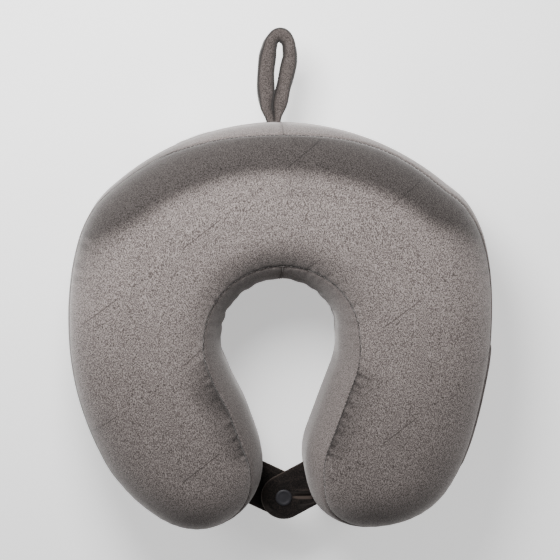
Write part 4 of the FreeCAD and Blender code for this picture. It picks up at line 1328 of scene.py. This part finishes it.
STRAP_HALF = 16.5 * MM
STRAP_THICKNESS = 3.2 * MM
STRAP_EDGE = 4.2 * MM


def crease(u, v, near, at_near, far, at_far, width, height):
    """A ridge, or a furrow, along a line given by its place across at two distances from the snap."""
    middle = at_near + (at_far - at_near) * (u - near) / (far - near)
    ends = smoothstep(near - 3 * MM, near + 2 * MM, u) * (1 - smoothstep(far, far + 6 * MM, u))
    return height * (np.exp(-(((v - middle) / width) ** 2)) * ends)


def make_strap(name, node, joint, body, level, folds, snap_reach):
    """A padded velour tongue, sewn in at the lobe and round at its end, drawn in at the snap."""
    low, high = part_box("snap_cap")
    snap = (low + high) / 2
    root = Vector(JOINTS[joint]["pos_m"])
    run = math.hypot(snap.x - root.x, snap.y - root.y)
    ahead = np.array([snap.x - root.x, snap.y - root.y]) / run
    aside = np.array([-ahead[1], ahead[0]])
    across = STRAP_HALF * np.sin(np.linspace(-math.pi / 2, math.pi / 2, 49))
    share = np.linspace(0, 1, 71)[:, None]
    start = -9 * MM - 4 * MM * (across / STRAP_HALF) ** 2
    end = run + np.sqrt(np.maximum(STRAP_HALF**2 - across**2, 0))
    u = start + (end - start) * share
    v = np.broadcast_to(across, u.shape)
    edge = STRAP_HALF - np.hypot(np.maximum(u - run, 0), v)
    near = np.clip(edge / STRAP_EDGE, 0, 1)
    rounded = np.sqrt(1 - (1 - near) ** 2)
    back = run - u
    from_snap = np.hypot(u - run, v)
    dimple = np.exp(-((from_snap / snap_reach) ** 2))
    puff = smoothstep(5 * MM, 13 * MM, from_snap) * smoothstep(0, 7 * MM, edge)
    fold = sum(crease(back, v, *(number * MM for number in line)) for line in folds)
    wrinkle = ripple(v / MM * 0.35 + u / MM * 0.13, 17, 0.6, 1.6) * 0.4 * MM * smoothstep(0, 5 * MM, edge)
    body_half = STRAP_THICKNESS / 2
    top = rounded * body_half + (puff * 1.1 * MM + fold + wrinkle) * (1 - dimple) * near
    bottom = -rounded * body_half - puff * 0.25 * MM
    sag = -0.9 * MM * smoothstep(8 * MM, 18 * MM, from_snap) * smoothstep(run, run + STRAP_HALF, u)
    if body == "left_strap":
        top = np.minimum(top, body_half + 0.9 * MM)
        sag = 0 * sag
    plane = np.stack([root.x + u * ahead[0] + v * aside[0], root.y + u * ahead[1] + v * aside[1]], -1)
    grids = [
        np.concatenate([plane, (level + sag + rise)[..., None]], -1).reshape(-1, 3)
        for rise in (top, bottom)
    ]
    faces = slab_faces(np.arange(u.size).reshape(u.shape))
    obj = new_object(name, np.concatenate(grids), faces, STRAP_VELOUR)
    work = bmesh.new()
    work.from_mesh(obj.data)
    bmesh.ops.remove_doubles(work, verts=work.verts, dist=0.02 * MM)
    bmesh.ops.recalc_face_normals(work, faces=work.faces)
    work.to_mesh(obj.data)
    work.free()
    subdivide(obj)
    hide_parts(node)
    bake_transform(obj)


def make_straps():
    """Both straps. Each fold is a row for crease, in millimetres."""
    right_folds = [
        (4, 1.0, 17, 7.4, 0.8, -2.6), (5, -2.6, 17, 4.0, 1.9, 2.1), (6, 4.6, 18, 10.8, 1.6, 1.7),
        (7, 8.6, 19, 14.0, 1.4, 0.9), (2, -9.5, 18, -6.0, 2.2, 1.4),
    ]
    left_folds = [(10, 4, 24, 7, 1.8, 0.8), (10, -5, 24, -3, 1.8, 0.8)]
    for side, motion, folds, snap_reach in (
        ("right", "lift", right_folds, 8.5 * MM), ("left", "drop", left_folds, 9 * MM),
    ):
        low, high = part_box(f"strap_{side}")
        make_strap(f"{side}_tongue", f"strap_{side}", f"{side}_strap_{motion}", f"{side}_strap",
                   (low.z + high.z) / 2, folds, snap_reach)


def turned(name, node, body, profile, corners=64):
    """A small moulded piece turned about the snap's axis, from radius and height pairs in millimetres."""
    low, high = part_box(node)
    centre = (low + high) / 2
    rings = []
    for radius, height in profile:
        angles = np.arange(corners) * 2 * math.pi / corners
        rings.append(np.column_stack([
            centre.x + radius * MM * np.cos(angles), centre.y + radius * MM * np.sin(angles),
            np.full(corners, low.z + height * MM),
        ]))
    verts, faces = loft(rings)
    obj = new_object(name, verts, faces, SNAP)
    point_outwards(obj)
    finish_piece(obj, body, "snap_plastic", node)


def make_snap():
    """The snap: a dished cap over a pin on the upper strap with its socket, a stud and a back cap."""
    turned("snap_face", "snap_cap", "right_strap", [
        (0.6, 0.05), (0.95, 0.15), (1.0, 0.5), (1.0, 3.1), (4.9, 3.1), (5.6, 3.22), (5.95, 3.5),
        (5.98, 3.75), (5.75, 4.1), (5.3, 4.3), (4.8, 4.38), (4.3, 4.36), (3.9, 4.24), (3.5, 4.14),
        (2.6, 4.12), (1.0, 4.16), (0.3, 4.17),
    ])
    turned("snap_ring", "snap_socket", "right_strap", [
        (2.3, 1.7), (2.3, 0.3), (2.6, 0.05), (3.2, 0.0), (3.9, 0.1), (4.2, 0.6), (4.9, 0.8), (5.4, 1.1),
        (5.5, 1.5), (5.4, 1.95), (5.0, 2.18), (1.4, 2.18), (1.1, 1.92), (2.1, 1.9),
    ])
    turned("snap_post", "snap_stud", "left_strap", [
        (1.2, 0.02), (4.6, 0.02), (4.95, 0.2), (4.9, 0.6), (4.6, 0.78), (2.2, 0.84), (1.8, 1.0), (1.7, 1.5),
        (2.0, 1.95), (1.95, 2.25), (1.6, 2.45), (0.8, 2.5),
    ])
    turned("snap_base", "snap_back_cap", "left_strap", [
        (0.4, 0.12), (1.5, 0.05), (4.2, 0.02), (4.8, 0.15), (5.0, 0.4), (4.9, 0.65), (4.5, 0.79),
        (1.1, 0.8), (1.0, 1.0), (1.0, 3.6), (0.8, 3.95),
    ])


cover_points, smooth_points, cover_normals, cover_faces = make_cover()
make_inside(smooth_points, cover_normals, cover_faces)
make_seam_thread(cover_points, cover_normals)
make_pocket(cover_points, cover_normals)
make_label(cover_points, cover_normals)
make_elastic(cover_points, cover_normals)
make_zipper()
make_loop()
make_straps()
make_snap()


# Floor, light and camera --------------------------------------------------------------------------


FLOOR_HALF = 3.0
FLOOR_LEVEL = -0.5 * MM
SKY_STRENGTH = 0.24

# Each light's name, place, target, size and power
LIGHTS = (
    ("key", (-0.14, 0.34, 0.52), (0, 0.08, 0.05), 0.26, 6.6),
    ("left", (-0.85, 0.4, 0.4), (0, 0.05, 0.05), 0.4, 6),
    ("right", (0.9, 0.3, 0.4), (0, 0.05, 0.05), 0.4, 5),
)

CAMERA_DISTANCE = 1.35
CAMERA_SIDE = (-0.055, 0.12, 1)
CAMERA_TARGET = (0, -0.8 * MM, HEIGHT / 2)
VIEW_WIDTH = 0.399


def make_stage():
    corners = [(-1, -1), (1, -1), (1, 1), (-1, 1)]
    verts = [(x * FLOOR_HALF, y * FLOOR_HALF, FLOOR_LEVEL) for x, y in corners]
    floor = new_object("floor", verts, [(0, 1, 2, 3)], smooth=False)
    n = Nodes("floor")
    cloud = n.noise((3, 3, 3))
    floor.data.materials.append(
        n.finish(
            n.ramp(cloud, [(0.3, (0.9, 0.9, 0.9)), (0.7, (0.93, 0.93, 0.93))]), roughness=0.9,
            emission_color=(1, 1, 1, 1), emission_strength=0.6,
        )
    )


def add_light(name, place, target, size, power):
    data = bpy.data.lights.new(name, "AREA")
    data.shape = "DISK"
    data.size = size
    data.energy = power
    lamp = bpy.data.objects.new(name, data)
    bpy.context.scene.collection.objects.link(lamp)
    lamp.location = place
    lamp.rotation_euler = (Vector(target) - Vector(place)).to_track_quat("-Z", "Y").to_euler()


def make_light():
    world = bpy.data.worlds.new("studio")
    bpy.context.scene.world = world
    world.use_nodes = True
    background = world.node_tree.nodes["Background"]
    background.inputs["Color"].default_value = (1, 1, 1, 1)
    background.inputs["Strength"].default_value = SKY_STRENGTH
    for light in LIGHTS:
        add_light(*light)


def make_camera():
    data = bpy.data.cameras.new("camera")
    camera = bpy.data.objects.new("camera", data)
    bpy.context.scene.collection.objects.link(camera)
    away = Vector(CAMERA_SIDE).normalized()
    camera.location = Vector(CAMERA_TARGET) + away * CAMERA_DISTANCE
    right = Vector((0, 1, 0)).cross(away).normalized()
    up = away.cross(right)
    camera.rotation_mode = "QUATERNION"
    camera.rotation_quaternion = Matrix((right, up, away)).transposed().to_quaternion()
    data.sensor_width = 36
    data.lens = data.sensor_width * CAMERA_DISTANCE / VIEW_WIDTH
    bpy.context.scene.camera = camera


make_stage()
make_light()
make_camera()

bpy.context.view_layer.update()
import json
